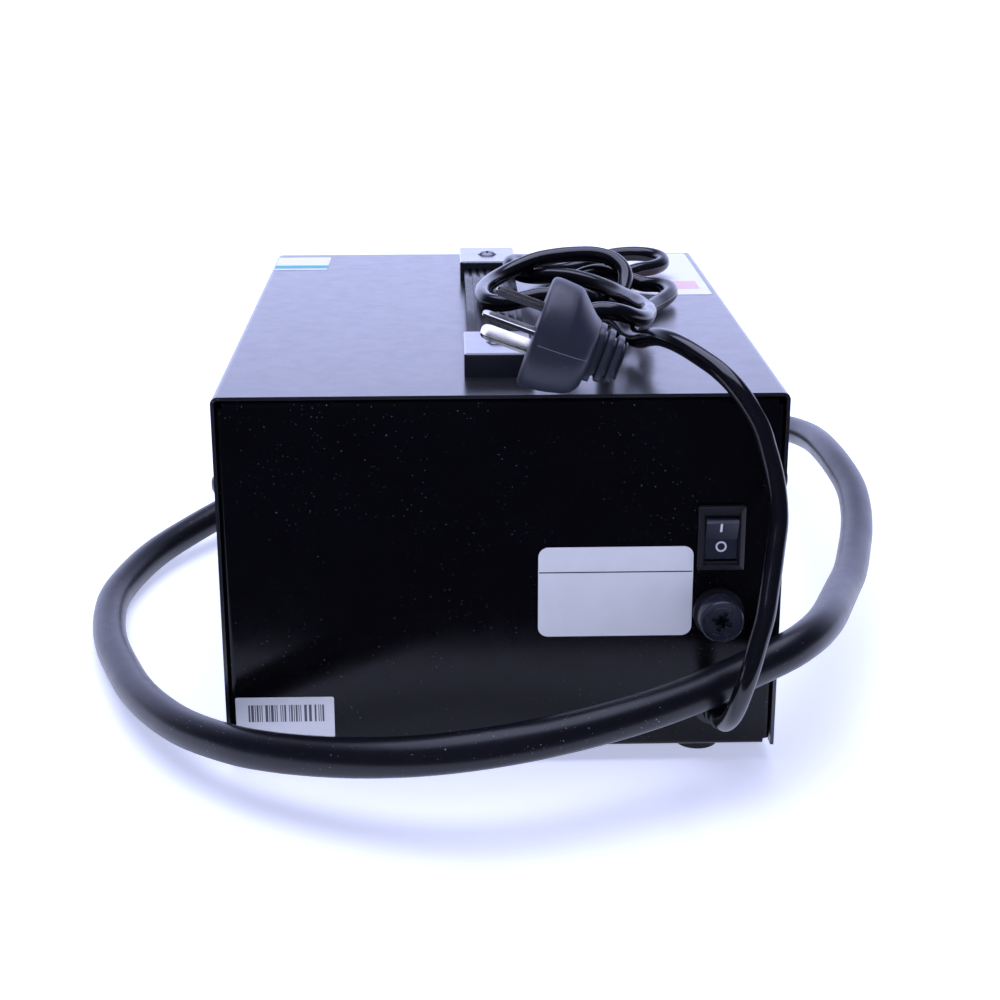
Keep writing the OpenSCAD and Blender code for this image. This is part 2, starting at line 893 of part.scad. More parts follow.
// Side view of the rocker with its middle at the origin and its face towards +X
module rocker_side() {
  reach = rocker_r + over;
  lift = reach * tan(rocker_throw / 2);
  intersection() {
    circle(r = rocker_r);
    polygon([[-reach, -reach], [rocker_valley + lift, -reach], [rocker_valley, 0],
      [rocker_valley + lift, reach], [-reach, reach]]);
  }
}

module power_rocker() {
  color([0.08, 0.08, 0.08])
    translate([rear_x, half_d - rocker_sink, switch_level]) {
      rotate([-rocker_throw / 2, 0, 0])
        across(-rocker_w / 2, rocker_w / 2)
          rocker_side();
      rod_x(-rocker_w / 2 - 0.8, rocker_w / 2 + 0.8, axle_d);
    }
}

module fuse_holder() {
  color([0.06, 0.06, 0.06])
    translate([rear_x, 0, fuse_level])
      difference() {
        union() {
          rod_y(half_d, half_d + fuse_flange_h, fuse_flange_d);
          rod_y(half_d - barrel_l, half_d, barrel_d);
          block([-tab_w / 2, half_d - barrel_l - tab_l, -tab_t / 2],
            [tab_w / 2, half_d - barrel_l, tab_t / 2]);
        }
        rod_y(fuse_y - fuse_l - play, half_d + fuse_flange_h + over, fuse_bore_d);
      }
}

module fuse_holder_nut() {
  color([0.10, 0.10, 0.10])
    translate([rear_x, 0, fuse_level])
      difference() {
        lengthwise(in_d - fuse_nut_h, in_d)
          hexagon(fuse_nut_af);
        rod_y(in_d - fuse_nut_h - over, in_d + over, barrel_d + ease);
      }
}

module fuse_cap() {
  cap_top = fuse_cap_y + fuse_cap_h;
  color([0.07, 0.07, 0.07])
    translate([rear_x, 0, fuse_level])
      difference() {
        union() {
          rod_y(fuse_cap_y, cap_top - 1, fuse_cap_d);
          translate([0, cap_top - 1, 0])
            rotate([-90, 0, 0])
              cylinder(h = 1, d1 = fuse_cap_d, d2 = fuse_cap_d - 2);
          rod_y(neck_y, fuse_cap_y, neck_d);
        }
        rod_y(neck_y - over, fuse_y + ease, fuse_d + 2 * ease);
        for (a = [0, 90])
          rotate([0, a, 0])
            block([-5, cap_top - 1.5, -0.8], [5, cap_top + over, 0.8]);
        for (a = [0 : 30 : 330])
          rotate([0, a, 0])
            translate([fuse_cap_d / 2, 0, 0])
              rod_y(fuse_cap_y + 2, cap_top + over, 1.4);
      }
}

module fuse() {
  color([0.75, 0.78, 0.80])
    translate([rear_x, 0, fuse_level]) {
      rod_y(fuse_y - fuse_l, fuse_y, fuse_d - 0.4);
      rod_y(fuse_y - fuse_l, fuse_y - fuse_l + 5, fuse_d);
      rod_y(fuse_y - 5, fuse_y, fuse_d);
    }
}

module cord_gland() {
  color([0.05, 0.05, 0.05])
    translate([rear_x, in_d, gland_level])
      rotate([-90, 0, 0])
        rotate_extrude()
          polygon([[0, -4], [gland_neck_d / 2 + 1, -4], [gland_neck_d / 2 + 1, 0], [gland_neck_d / 2, 0],
            [gland_neck_d / 2, sheet_t], [gland_flange_d / 2, sheet_t], [gland_flange_d / 2, sheet_t + 2.5],
            [6, sheet_t + 2.5], [5.6, sheet_t + 6], [5.1, sheet_t + 6], [4.9, sheet_t + 8], [5.2, sheet_t + 8],
            [4.7, sheet_t + 11], [4.2, sheet_t + 11], [4, sheet_t + 13], [3.8, sheet_t + gland_l],
            [0, sheet_t + gland_l]]);
}

module mains_cord() {
  color([0.05, 0.05, 0.05])
    tube_along(lead_route, [1, 0, 0], lead_d, 10);
}

module cord_coil() {
  color([0.05, 0.05, 0.05])
    translate([coil_x, coil_y, coil_under])
      rotate([0, -coil_lean, 0])
        rotate([0, 0, coil_turn])
          linear_extrude(height = coil_h)
            difference() {
              soft_rect(coil_w, coil_w + 2 * coil_half, coil_w / 2 - ease);
              soft_rect(2 * coil_hole_r, 2 * coil_hole_r + 2 * coil_half, coil_hole_r - ease);
            }
}

module cord_tail() {
  color([0.05, 0.05, 0.05])
    tube_along(tail_route, [0, 0, 1], lead_d, 10);
}

// Turns the plug's own axis, along Z, into its place on the case
module plug_place() {
  translate(plug_at)
    rotate([0, 0, plug_turn])
      rotate([0, 90 - plug_tilt, 0])
        children();
}

module plug_body() {
  color([0.05, 0.05, 0.05]) {
    plug_place() {
      rod_z(-plug_rim, 0, plug_d);
      translate([0, 0, -plug_rim - plug_cone])
        cylinder(h = plug_cone, d1 = plug_back_d, d2 = plug_d);
      upright(-plug_rim - plug_cone - neck_len, -plug_rim - plug_cone + over)
        soft_rect(neck_h, neck_w, 2);
      for (k = [0 : 2])
        upright(-plug_rim - plug_cone - 3.2 - 2.6 * k, -plug_rim - plug_cone - 2 - 2.6 * k)
          soft_rect(neck_h + 1.4, neck_w + 1.4, 2);
    }
    tail_boot();
  }
}

// Sleeve where the lead leaves the plug's neck
module tail_boot() {
  start = tail_route[0];
  aim = unit(tail_route[1] - tail_route[0]);
  translate(start)
    rotate([0, 90 - asin(aim[2]), atan2(aim[1], aim[0])])
      translate([0, 0, -tail_boot_l])
        cylinder(h = tail_boot_l, d1 = 11, d2 = lead_d + 1.4);
}

// One blade of the plug: its place on the face and the turn of its broad side
module blade(place, turn) {
  translate(place)
    rotate(turn)
      difference() {
        upright(0, pin_l)
          square([pin_w, pin_t], center = true);
        for (s = [-1, 1])
          translate([s * pin_w / 2, 0, pin_l])
            rotate([0, 45, 0])
              cube([1.4, pin_t + over, 1.4], center = true);
      }
}

module plug_pins() {
  color([0.75, 0.75, 0.72])
    plug_place() {
      blade([-8.4, 0, 0], 90);
      blade([3, 6.9, 0], 60);
      blade([3, -6.9, 0], -60);
    }
}

module display_window() {
  color([0.10, 0.02, 0.02])
    translate([display_x, 0, display_level]) {
      lengthwise(face_y + window_proud, window_back)
        square([window_w, window_h], center = true);
      lengthwise(back_y, window_back)
        square([window_w + 2 * window_rim, window_h + 2 * window_rim], center = true);
    }
}

module display_module() {
  color([0.12, 0.12, 0.12])
    translate([display_x, 0, display_level])
      lengthwise(window_back + module_gap, board_y)
        square([module_w, module_h], center = true);
}

module control_pcb() {
  color([0.05, 0.25, 0.12])
    difference() {
      translate([board_x, 0, display_level])
        lengthwise(board_y, board_y + board_t)
          square([board_w, board_h], center = true);
      control_posts(board_y - over, board_y + board_t + over, screw_d + play);
    }
}

// The four places where the control board is fixed behind the front panel
module control_posts(y0, y1, d) {
  for (sx = [-1, 1], sz = [-1, 1])
    translate([board_x + sx * (board_w / 2 - pcb_in), 0, display_level + sz * (board_h / 2 - pcb_in)])
      rod_y(y0, y1, d);
}

// One key with its flange behind the panel and its plunger
module key(x) {
  translate([x, 0, display_level]) {
    rod_y(face_y - key_proud, back_y + key_rest, key_d);
    rod_y(back_y + key_rest, back_y + key_rest + key_flange_t, key_flange_d);
    rod_y(back_y + key_rest, board_y - tact_h - tact_nub - key_travel - play, plunger_d);
  }
}

module temp_up_button() {
  color([0.55, 0.12, 0.10])
    key(key_left + key_pitch);
}

module temp_down_button() {
  color([0.15, 0.25, 0.50])
    key(key_left);
}

module airflow_knob() {
  skirt = 3;
  color([0.08, 0.08, 0.08])
    translate([knob_x, 0, knob_level])
      difference() {
        lengthwise(knob_y - knob_h, knob_y)
          difference() {
            circle(d = knob_d);
            for (k = [0 : flute_n - 1])
              rotate(360 * k / flute_n)
                translate([knob_d / 2 + flute_d / 4, 0])
                  circle(d = flute_d);
          }
        rod_y(knob_y - skirt, knob_y + over, pot_nut_af + 6);
        rod_y(shaft_front - ease, knob_y + over, shaft_d + ease);
      }
}

module airflow_pot() {
  color([0.45, 0.46, 0.48])
    translate([knob_x, 0, knob_level])
      difference() {
        union() {
          rod_y(back_y, back_y + pot_l, pot_d);
          rod_y(back_y - bushing_l, back_y, bushing_d);
          for (k = [-1 : 1])
            block([k * 5 - 0.5, back_y + 3, -pot_d / 2 - 5], [k * 5 + 0.5, back_y + 4, -pot_d / 2 + 3]);
        }
        rod_y(back_y - bushing_l - over, back_y + shaft_in + ease, shaft_d + ease);
      }
}

module pot_nut() {
  color([0.75, 0.75, 0.75])
    translate([knob_x, 0, knob_level])
      difference() {
        lengthwise(face_y - pot_nut_h, face_y)
          hexagon(pot_nut_af);
        rod_y(face_y - pot_nut_h - over, face_y + over, bushing_d + ease);
      }
}

module pot_shaft() {
  color([0.70, 0.70, 0.70])
    translate([knob_x, 0, knob_level])
      rod_y(shaft_front, back_y + shaft_in, shaft_d);
}

module hose_outlet() {
  color([0.09, 0.09, 0.09])
    translate([-outlet_x, 0, outlet_level])
      difference() {
        union() {
          rod_y(face_y - outlet_flange_t, face_y, outlet_flange_d);
          rod_y(face_y, back_y + outlet_in, outlet_barrel_d);
          rod_y(back_y + outlet_in, barb_y, barb_d);
        }
        rod_y(face_y - outlet_flange_t - over, barb_y - 2, barb_d - 3);
      }
}

module hose_nut() {
  color([0.12, 0.12, 0.12])
    translate([-outlet_x, 0, outlet_level])
      difference() {
        lengthwise(back_y, back_y + outlet_nut_h)
          hexagon(outlet_nut_af);
        rod_y(back_y - over, back_y + outlet_nut_h + over, outlet_barrel_d + ease);
      }
}

module hose_boot() {
  color([0.05, 0.05, 0.05])
    translate([-outlet_x, boot_y, outlet_level])
      rotate([90, 0, 0])
        rotate_extrude()
          polygon([[0, 0], [boot_root_r, 0], [boot_root_r, 3], [boot_root_r - 1, 3], [boot_root_r - 1.4, 6],
            [boot_root_r - 0.6, 6], [boot_root_r - 1, 9], [boot_root_r - 2, 9], [boot_root_r - 2.2, 12],
            [boot_root_r - 1.4, 12], [boot_root_r - 1.8, 15], [boot_root_r - 2.8, 15], [boot_end_r, boot_l],
            [0, boot_l]]);
}

module air_hose() {
  color([0.05, 0.05, 0.05])
    tube_along(hose_route, [0, 0, 1], hose_d, 12);
}

// Places the handpiece, drawn along Z from the hose's end, on the bench
module tool_place() {
  translate([tool_x, tool_y, grip_r])
    rotate([0, 0, tool_turn])
      rotate([0, 90, 0])
        children();
}

// Half section of the grip, less a given wall, over a part of its length
module grip_outline(inset, low, high) {
  steps = 14;
  zs = [for (i = [0 : steps]) low + (high - low) * i / steps];
  side = [for (z = zs) [waist_r - inset + waist * pow(2 * z / grip_l - 1, 2), grip_s + z]];
  polygon(concat([[0, grip_s + low]], side, [[0, grip_s + high]]));
}

module grip_shell() {
  difference() {
    rotate_extrude()
      difference() {
        grip_outline(0, 0, grip_l);
        grip_outline(grip_wall, grip_wall_end, grip_l - grip_wall_end);
      }
    rod_z(grip_s - over, grip_s + grip_wall_end + over, hose_d + 3 + 2 * tube_seat);
    rod_z(grip_end - grip_wall_end - over, grip_end + over, tube_d + 2 * tube_step + 2 * tube_seat);
    for (s = [14, 60, 104])
      translate([0, 0, grip_s + s])
        rotate([0, -90, 0])
          rod_z(waist_r - grip_wall / 2, grip_r + over, tool_head_d + play);
    for (s = [14, 60, 104])
      translate([0, 0, grip_s + s])
        rotate([0, -90, 0])
          rod_z(0, grip_r + over, tool_screw_d + play);
  }
}

// The upper half of the grip, whose side is -X before the handpiece is laid down
module grip_upper() {
  color([0.08, 0.08, 0.09])
    tool_place()
      intersection() {
        grip_shell();
        block([-grip_r - over, -grip_r - over, grip_s - over], [-ease / 2, grip_r + over, grip_end + over]);
      }
}

module grip_lower() {
  color([0.08, 0.08, 0.09])
    tool_place() {
      intersection() {
        grip_shell();
        block([ease / 2, -grip_r - over, grip_s - over], [grip_r + over, grip_r + over, grip_end + over]);
      }
      for (s = [14, 60, 104])
        translate([0, 0, grip_s + s])
          rotate([0, 90, 0])
            difference() {
              rod_z(play, waist_r - grip_wall / 2, tool_head_d);
              rod_z(0, 6, tool_screw_d + ease);
            }
    }
}

module grip_screws() {
  color([0.25, 0.25, 0.26])
    tool_place()
      for (s = [14, 60, 104])
        translate([-(waist_r - grip_wall / 2), 0, grip_s + s])
          rotate([0, 90, 0])
            pan_screw(tool_screw_d, waist_r + 3, tool_head_d, 1.2);
}

module vent_ring() {
  color([0.30, 0.30, 0.31])
    tool_place()
      difference() {
        rod_z(grip_end, collar_end, 2 * collar_r);
        rod_z(grip_end - over, collar_end + over, tube_d + 2 * tube_step + 2 * ease);
        for (k = [0 : 11])
          rotate(30 * k)
            translate([collar_r, 0, grip_end + collar_l / 2])
              cube([4, 2.4, collar_l - 5], center = true);
      }
}

module heater_tube() {
  color([0.72, 0.72, 0.72])
    tool_place()
      difference() {
        union() {
          rod_z(tube_start, tube_tip - nozzle_seat, tube_d + 2 * tube_step);
          rod_z(tube_tip - nozzle_seat, tube_tip, tube_d);
        }
        rod_z(tube_start - over, tube_tip + over, tube_d - 2 * tube_wall);
      }
}

module heater_core() {
  core_r = tube_d / 2 - tube_wall - tube_seat;
  color([0.90, 0.88, 0.80])
    tool_place()
      difference() {
        union() {
          rod_z(core_s, core_s + 3, 2 * core_r);
          rod_z(core_s, core_s + core_l, 2 * core_r - 5);
          rod_z(core_s + core_l - 3, core_s + core_l, 2 * core_r);
        }
        for (k = [0 : 5])
          rotate(60 * k)
            translate([core_r / 2, 0, 0])
              rod_z(core_s - over, core_s + core_l + over, 3);
      }
}

module tube_grille() {
  grille_z = tube_tip - grille_in;
  color([0.60, 0.60, 0.60])
    tool_place()
      difference() {
        rod_z(grille_z - grille_t, grille_z, tube_d - 2 * tube_wall - ease);
        for (k = [0 : 11])
          rotate(30 * k)
            translate([7.2, 0, 0])
              rod_z(grille_z - grille_t - over, grille_z + over, 2.4);
        for (k = [0 : 5])
          rotate(60 * k)
            translate([3.6, 0, 0])
              rod_z(grille_z - grille_t - over, grille_z + over, 2.4);
      }
}

module tool_hose_boot() {
  neck_r = hose_d / 2 + 1.5;
  color([0.05, 0.05, 0.05])
    tool_place() {
      cylinder(h = tool_boot_l, r1 = neck_r, r2 = neck_r + 3.2);
      rod_z(0, tool_boot_l + grip_wall_end + play, 2 * neck_r);
      rod_z(tool_boot_l + grip_wall_end + play, tool_boot_l + grip_wall_end + 3, 2 * neck_r + 4);
    }
}

module transformer_core() {
  color([0.35, 0.35, 0.36])
    translate([trafo_x, trafo_y, 0]) {
      lengthwise(-trafo_stack / 2, trafo_stack / 2)
        difference() {
          translate([-trafo_w / 2, floor_z + foot_plate])
            square([trafo_w, trafo_h]);
          for (s = [0, 1])
            mirror([s, 0])
              translate([limb, floor_z + foot_plate + limb])
                square([limb, trafo_h - 2 * limb]);
        }
      block([-trafo_w / 2, -trafo_stack / 2 - 7, floor_z], [trafo_w / 2, trafo_stack / 2 + 7, floor_z + foot_plate]);
    }
}

module transformer_coil() {
  coil_z = floor_z + foot_plate + limb + play;
  coil_top = coil_z + trafo_h - 2 * limb - 2 * play;
  color([0.75, 0.65, 0.25])
    translate([trafo_x, trafo_y, 0])
      difference() {
        upright(coil_z, coil_top)
          soft_rect(4 * limb - 2 * play, trafo_stack + 2 * limb, 3);
        upright(coil_z - over, coil_top + over)
          square([2 * limb + play, trafo_stack + play], center = true);
      }
}

// The four corners of the main board
module pcb_corners() {
  for (sx = [-1, 1], sy = [-1, 1])
    translate([pcb_x + sx * (pcb_w / 2 - pcb_in), pcb_y + sy * (pcb_l / 2 - pcb_in), 0])
      children();
}

module main_pcb() {
  color([0.05, 0.28, 0.14])
    difference() {
      block([pcb_x - pcb_w / 2, pcb_y - pcb_l / 2, pcb_z], [pcb_x + pcb_w / 2, pcb_y + pcb_l / 2, pcb_top]);
      pcb_corners()
        rod_z(pcb_z - over, pcb_top + over, screw_d + play);
    }
}

module pcb_standoffs() {
  color([0.75, 0.62, 0.30]) {
    pcb_corners() {
      rod_z(floor_z, pcb_z, spacer_d);
      rod_z(pcb_z, pcb_top, screw_d);
      rod_z(pcb_top, pcb_top + spacer_nut, spacer_d);
    }
    control_posts(back_y, board_y, spacer_d);
    control_posts(board_y, board_y + board_t, screw_d);
    control_posts(board_y + board_t, board_y + board_t + spacer_nut, spacer_d);
  }
}

module triac_heatsink() {
  color([0.70, 0.72, 0.74])
    translate(sink_at)
      upright(pcb_top, pcb_top + sink_h)
        union() {
          square(sink_plate, center = true);
          for (k = [-sink_fins : sink_fins])
            translate([k * sink_pitch, (sink_plate[1] + sink_fin[1] - 2 * play) / 2])
              square(sink_fin, center = true);
        }
}

module board_parts() {
  color([0.12, 0.12, 0.14]) {
    for (p = [triac_1, triac_2, terminals, relay, controller])
      translate([pcb_x + p[0], pcb_y + p[1], 0])
        upright(pcb_top, pcb_top + p[4])
          square([p[2], p[3]], center = true);
    for (x = tall_cap_at)
      translate([pcb_x + x, pcb_y + tall_cap_y, 0])
        rod_z(pcb_top, pcb_top + tall_cap_h, tall_cap_d);
    for (k = [0, 1])
      translate([key_left + k * key_pitch, 0, display_level]) {
        lengthwise(board_y - tact_h, board_y)
          square([tact_w, tact_w], center = true);
        rod_y(board_y - tact_h - tact_nub, board_y - tact_h, tact_h);
      }
  }
}

// Turns a part of the pump from its own middle into place; the mirrored side is the left one
module pump_place(flip) {
  translate([pump_x, pump_y, 0])
    mirror([flip, 0, 0])
      children();
}

module pump_base() {
  head_in = pump_l / 2 - head_t;
  color([0.16, 0.16, 0.17])
    difference() {
      union() {
        pump_place(0)
          block([-pump_l / 2, -pump_w / 2, tray_z], [pump_l / 2, pump_w / 2, deck_z]);
        for (flip = [0, 1])
          pump_place(flip)
            translate([0, 0, axis_z])
              across(head_in, pump_l / 2)
                soft_rect(head_w, head_h, 3);
        pump_place(0)
          block([-pump_l / 2, -pump_w / 2, deck_z], [pump_l / 2, -pump_w / 2 + 4, deck_z + 12]);
        translate(tube_from)
          rod_y(0, 8, barb_d);
      }
      for (flip = [0, 1])
        pump_place(flip) {
          translate([0, 0, axis_z])
            rod_x(head_in - over, head_in + chamber_l, chamber_d);
          translate([pump_l / 2 - 8, 0, 0])
            rod_z(deck_z + head_h - 10, deck_z + head_h + over, 5);
          translate([arm_x, arm_pivot, 0])
            rod_z(tray_z - over, deck_z + over, pin_d + ease);
        }
    }
}

module pump_core() {
  color([0.38, 0.38, 0.40])
    pump_place(0)
      translate([0, 0, deck_z])
        lengthwise(-core_stack / 2, core_stack / 2)
          difference() {
            translate([-core_w / 2, 0])
              square([core_w, core_h]);
            for (s = [0, 1])
              mirror([s, 0])
                translate([core_w / 2 - slot_in, limb_edge])
                  square([slot_in + over, core_h / 2 - limb_edge - limb_mid / 2]);
            for (s = [0, 1])
              mirror([s, 0])
                translate([core_w / 2 - slot_in, core_h / 2 + limb_mid / 2])
                  square([slot_in + over, core_h / 2 - limb_edge - limb_mid / 2]);
          }
}

module pump_coil() {
  bar = core_w - 2 * slot_in;
  color([0.70, 0.35, 0.15])
    pump_place(0)
      translate([0, 0, deck_z])
        for (s = [0, 1])
          mirror([s, 0, 0])
            across(bar / 2 + play, core_w / 2 - 1)
              difference() {
                soft_coil();
                translate([0, core_h / 2])
                  square([core_stack + play, limb_mid + play], center = true);
              }
}

// Section of a winding round the middle limb of the pump's core
module soft_coil() {
  translate([0, core_h / 2])
    square([core_stack + winding_over, core_h - 2 * limb_edge - 2 * play], center = true);
}

// One arm of the pump: hinged at its rear end, with its magnet and the stem of its diaphragm
module pump_arm() {
  head_in = pump_l / 2 - head_t;
  difference() {
    union() {
      translate([arm_x, 0, axis_z])
        across(-arm_t / 2, arm_t / 2)
          translate([-4, 0])
            soft_rect(52, 18, 3);
      translate([arm_x, 0, axis_z])
        rod_x(0, head_in - arm_x + 3, stem_d);
      block([arm_x - arm_t / 2 - 4, -core_stack / 2, deck_z + 4],
        [arm_x - arm_t / 2, core_stack / 2, deck_z + core_h - 4]);
      translate([arm_x, arm_pivot, 0])
        rod_z(axis_z - 9, axis_z + 9, 8);
    }
    block([-over, -pump_w, 0], [0, pump_w, over]);
  }
  translate([arm_x, arm_pivot, 0])
    rod_z(tray_z, axis_z - 9, pin_d);
}

module pump_arm_left() {
  color([0.25, 0.25, 0.27])
    pump_place(1)
      pump_arm();
}

module pump_arm_right() {
  color([0.25, 0.25, 0.27])
    pump_place(0)
      pump_arm();
}

module pump_diaphragms() {
  head_in = pump_l / 2 - head_t;
  color([0.08, 0.08, 0.08])
    for (flip = [0, 1])
      pump_place(flip)
        translate([0, 0, axis_z])
          difference() {
            rod_x(head_in + 0.5, head_in + 2.5, chamber_d - ease);
            rod_x(head_in - over, head_in + 4, disc_hole_d);
          }
}

module pump_mounts() {
  color([0.07, 0.07, 0.07])
    for (sx = [-1, 1], sy = [-1, 1])
      translate([pump_x + sx * (pump_l / 2 - 12), pump_y + sy * (pump_w / 2 - 9), 0])
        rod_z(floor_z, tray_z, 14);
}

module air_tube() {
  color([0.85, 0.85, 0.80])
    tube_along(inner_route, [0, 0, 1], inner_tube_d, 10);
}

chassis();
front_panel();
front_overlay();
top_cover();
cover_screws();
feet();
foot_clips();
handle_cap_rear();
handle_cap_front();
handle_strap();
handle_screws();
handle_nuts();
power_switch_body();
power_rocker();
fuse_holder();
fuse_holder_nut();
fuse_cap();
fuse();
cord_gland();
mains_cord();
cord_coil();
cord_tail();
plug_body();
plug_pins();
display_window();
display_module();
control_pcb();
temp_up_button();
temp_down_button();
airflow_knob();
airflow_pot();
pot_nut();
pot_shaft();
hose_outlet();
hose_nut();
hose_boot();
air_hose();
grip_upper();
grip_lower();
grip_screws();
vent_ring();
heater_tube();
heater_core();
tube_grille();
tool_hose_boot();
transformer_core();
transformer_coil();
main_pcb();
pcb_standoffs();
triac_heatsink();
board_parts();
pump_base();
pump_core();
pump_coil();
pump_arm_left();
pump_arm_right();
pump_diaphragms();
pump_mounts();
air_tube();
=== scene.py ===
"""Looks of a hot air rework station. Metres; lengths in the tables are millimetres and are scaled by MM."""
import json
import math
import random

import bpy
import numpy as np
from mathutils import Matrix, Vector
from mathutils.bvhtree import BVHTree


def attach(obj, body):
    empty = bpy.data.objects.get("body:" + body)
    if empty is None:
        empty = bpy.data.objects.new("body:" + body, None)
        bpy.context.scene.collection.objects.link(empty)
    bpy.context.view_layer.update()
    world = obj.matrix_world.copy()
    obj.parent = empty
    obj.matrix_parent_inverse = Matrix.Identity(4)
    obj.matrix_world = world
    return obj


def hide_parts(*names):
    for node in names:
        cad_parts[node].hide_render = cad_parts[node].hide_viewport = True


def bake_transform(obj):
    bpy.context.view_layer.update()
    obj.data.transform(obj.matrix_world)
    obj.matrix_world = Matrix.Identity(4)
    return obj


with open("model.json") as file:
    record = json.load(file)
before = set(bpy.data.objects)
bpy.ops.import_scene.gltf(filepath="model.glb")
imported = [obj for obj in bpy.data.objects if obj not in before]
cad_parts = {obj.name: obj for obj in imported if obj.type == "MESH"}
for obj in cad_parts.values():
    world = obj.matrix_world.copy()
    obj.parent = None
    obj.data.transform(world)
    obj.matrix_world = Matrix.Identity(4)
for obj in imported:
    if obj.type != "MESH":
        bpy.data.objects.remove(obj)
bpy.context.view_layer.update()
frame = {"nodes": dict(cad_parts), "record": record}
MM = 0.001
TOP_Z = 131.0
HALF_D = 124.5

# Camera, solved from the photograph
CAM_AT = Vector((0.01677, 0.68491, 0.2796))
YAW, PITCH, ROLL = -0.0289277, 0.3172141, -0.0013158
look = Vector((math.sin(YAW) * math.cos(PITCH), -math.cos(YAW) * math.cos(PITCH), -math.sin(PITCH)))
side = look.cross(Vector((0, 0, 1))).normalized()
rise = side.cross(look)
right = math.cos(ROLL) * side + math.sin(ROLL) * rise
up = math.cos(ROLL) * rise - math.sin(ROLL) * side
camera = bpy.data.objects.new("camera", bpy.data.cameras.new("camera"))
bpy.context.scene.collection.objects.link(camera)
camera.data.sensor_width = 36
camera.data.lens = 64.904
camera.data.clip_start, camera.data.clip_end = 0.02, 60
turn = Matrix((right, up, -look)).transposed().to_4x4()
camera.matrix_world = Matrix.Translation(CAM_AT) @ turn
bpy.context.scene.camera = camera
bpy.context.scene.view_settings.view_transform = "Standard"
bpy.context.scene.view_settings.look = "None"


# Node trees
class Graph:
    """A material or world tree with short calls for its nodes."""

    def __init__(self, tree):
        self.tree = tree

    def add(self, kind, inputs=None, **props):
        node = self.tree.nodes.new(kind)
        for key, value in props.items():
            setattr(node, key, value)
        for key, value in (inputs or {}).items():
            self.put(node.inputs[key], value)
        return node

    def put(self, socket, value):
        if isinstance(value, bpy.types.NodeSocket):
            self.tree.links.new(value, socket)
        else:
            socket.default_value = value

    def math(self, kind, a, b=0.0, clamp=False):
        node = self.add("ShaderNodeMath", operation=kind, use_clamp=clamp)
        self.put(node.inputs[0], a)
        self.put(node.inputs[1], b)
        return node.outputs[0]

    def ramp(self, value, lo, hi, out_lo=0.0, out_hi=1.0, smooth=False):
        node = self.add("ShaderNodeMapRange", interpolation_type="SMOOTHSTEP" if smooth else "LINEAR")
        keys = ("Value", "From Min", "From Max", "To Min", "To Max")
        for key, v in zip(keys, (value, lo, hi, out_lo, out_hi)):
            self.put(node.inputs[key], v)
        return node.outputs[0]

    def mix(self, factor, a, b):
        node = self.add("ShaderNodeMix", data_type="RGBA")
        self.put(node.inputs[0], factor)
        self.put(node.inputs[6], a)
        self.put(node.inputs[7], b)
        return node.outputs[2]

    def noise(self, scale, detail=3.0, rough=0.5, stretch=None, seed=(0, 0, 0), source="Object"):
        place = self.add("ShaderNodeTexCoord").outputs[source]
        if stretch or any(seed):
            m = self.add("ShaderNodeMapping", {"Vector": place})
            m.inputs["Scale"].default_value = stretch or (1, 1, 1)
            m.inputs["Location"].default_value = seed
            place = m.outputs[0]
        inputs = {"Vector": place, "Scale": scale, "Detail": detail, "Roughness": rough}
        return self.add("ShaderNodeTexNoise", inputs).outputs[0]


def rgba(colour, factor=1.0):
    return tuple(min(1.0, c * factor) for c in colour[:3]) + (1.0,)


FINISHES = {}
DUST = (0.5, 0.5, 0.55, 1)
PER_METRE = 1000
WAVES_AT_SCALE_1 = 3.1831


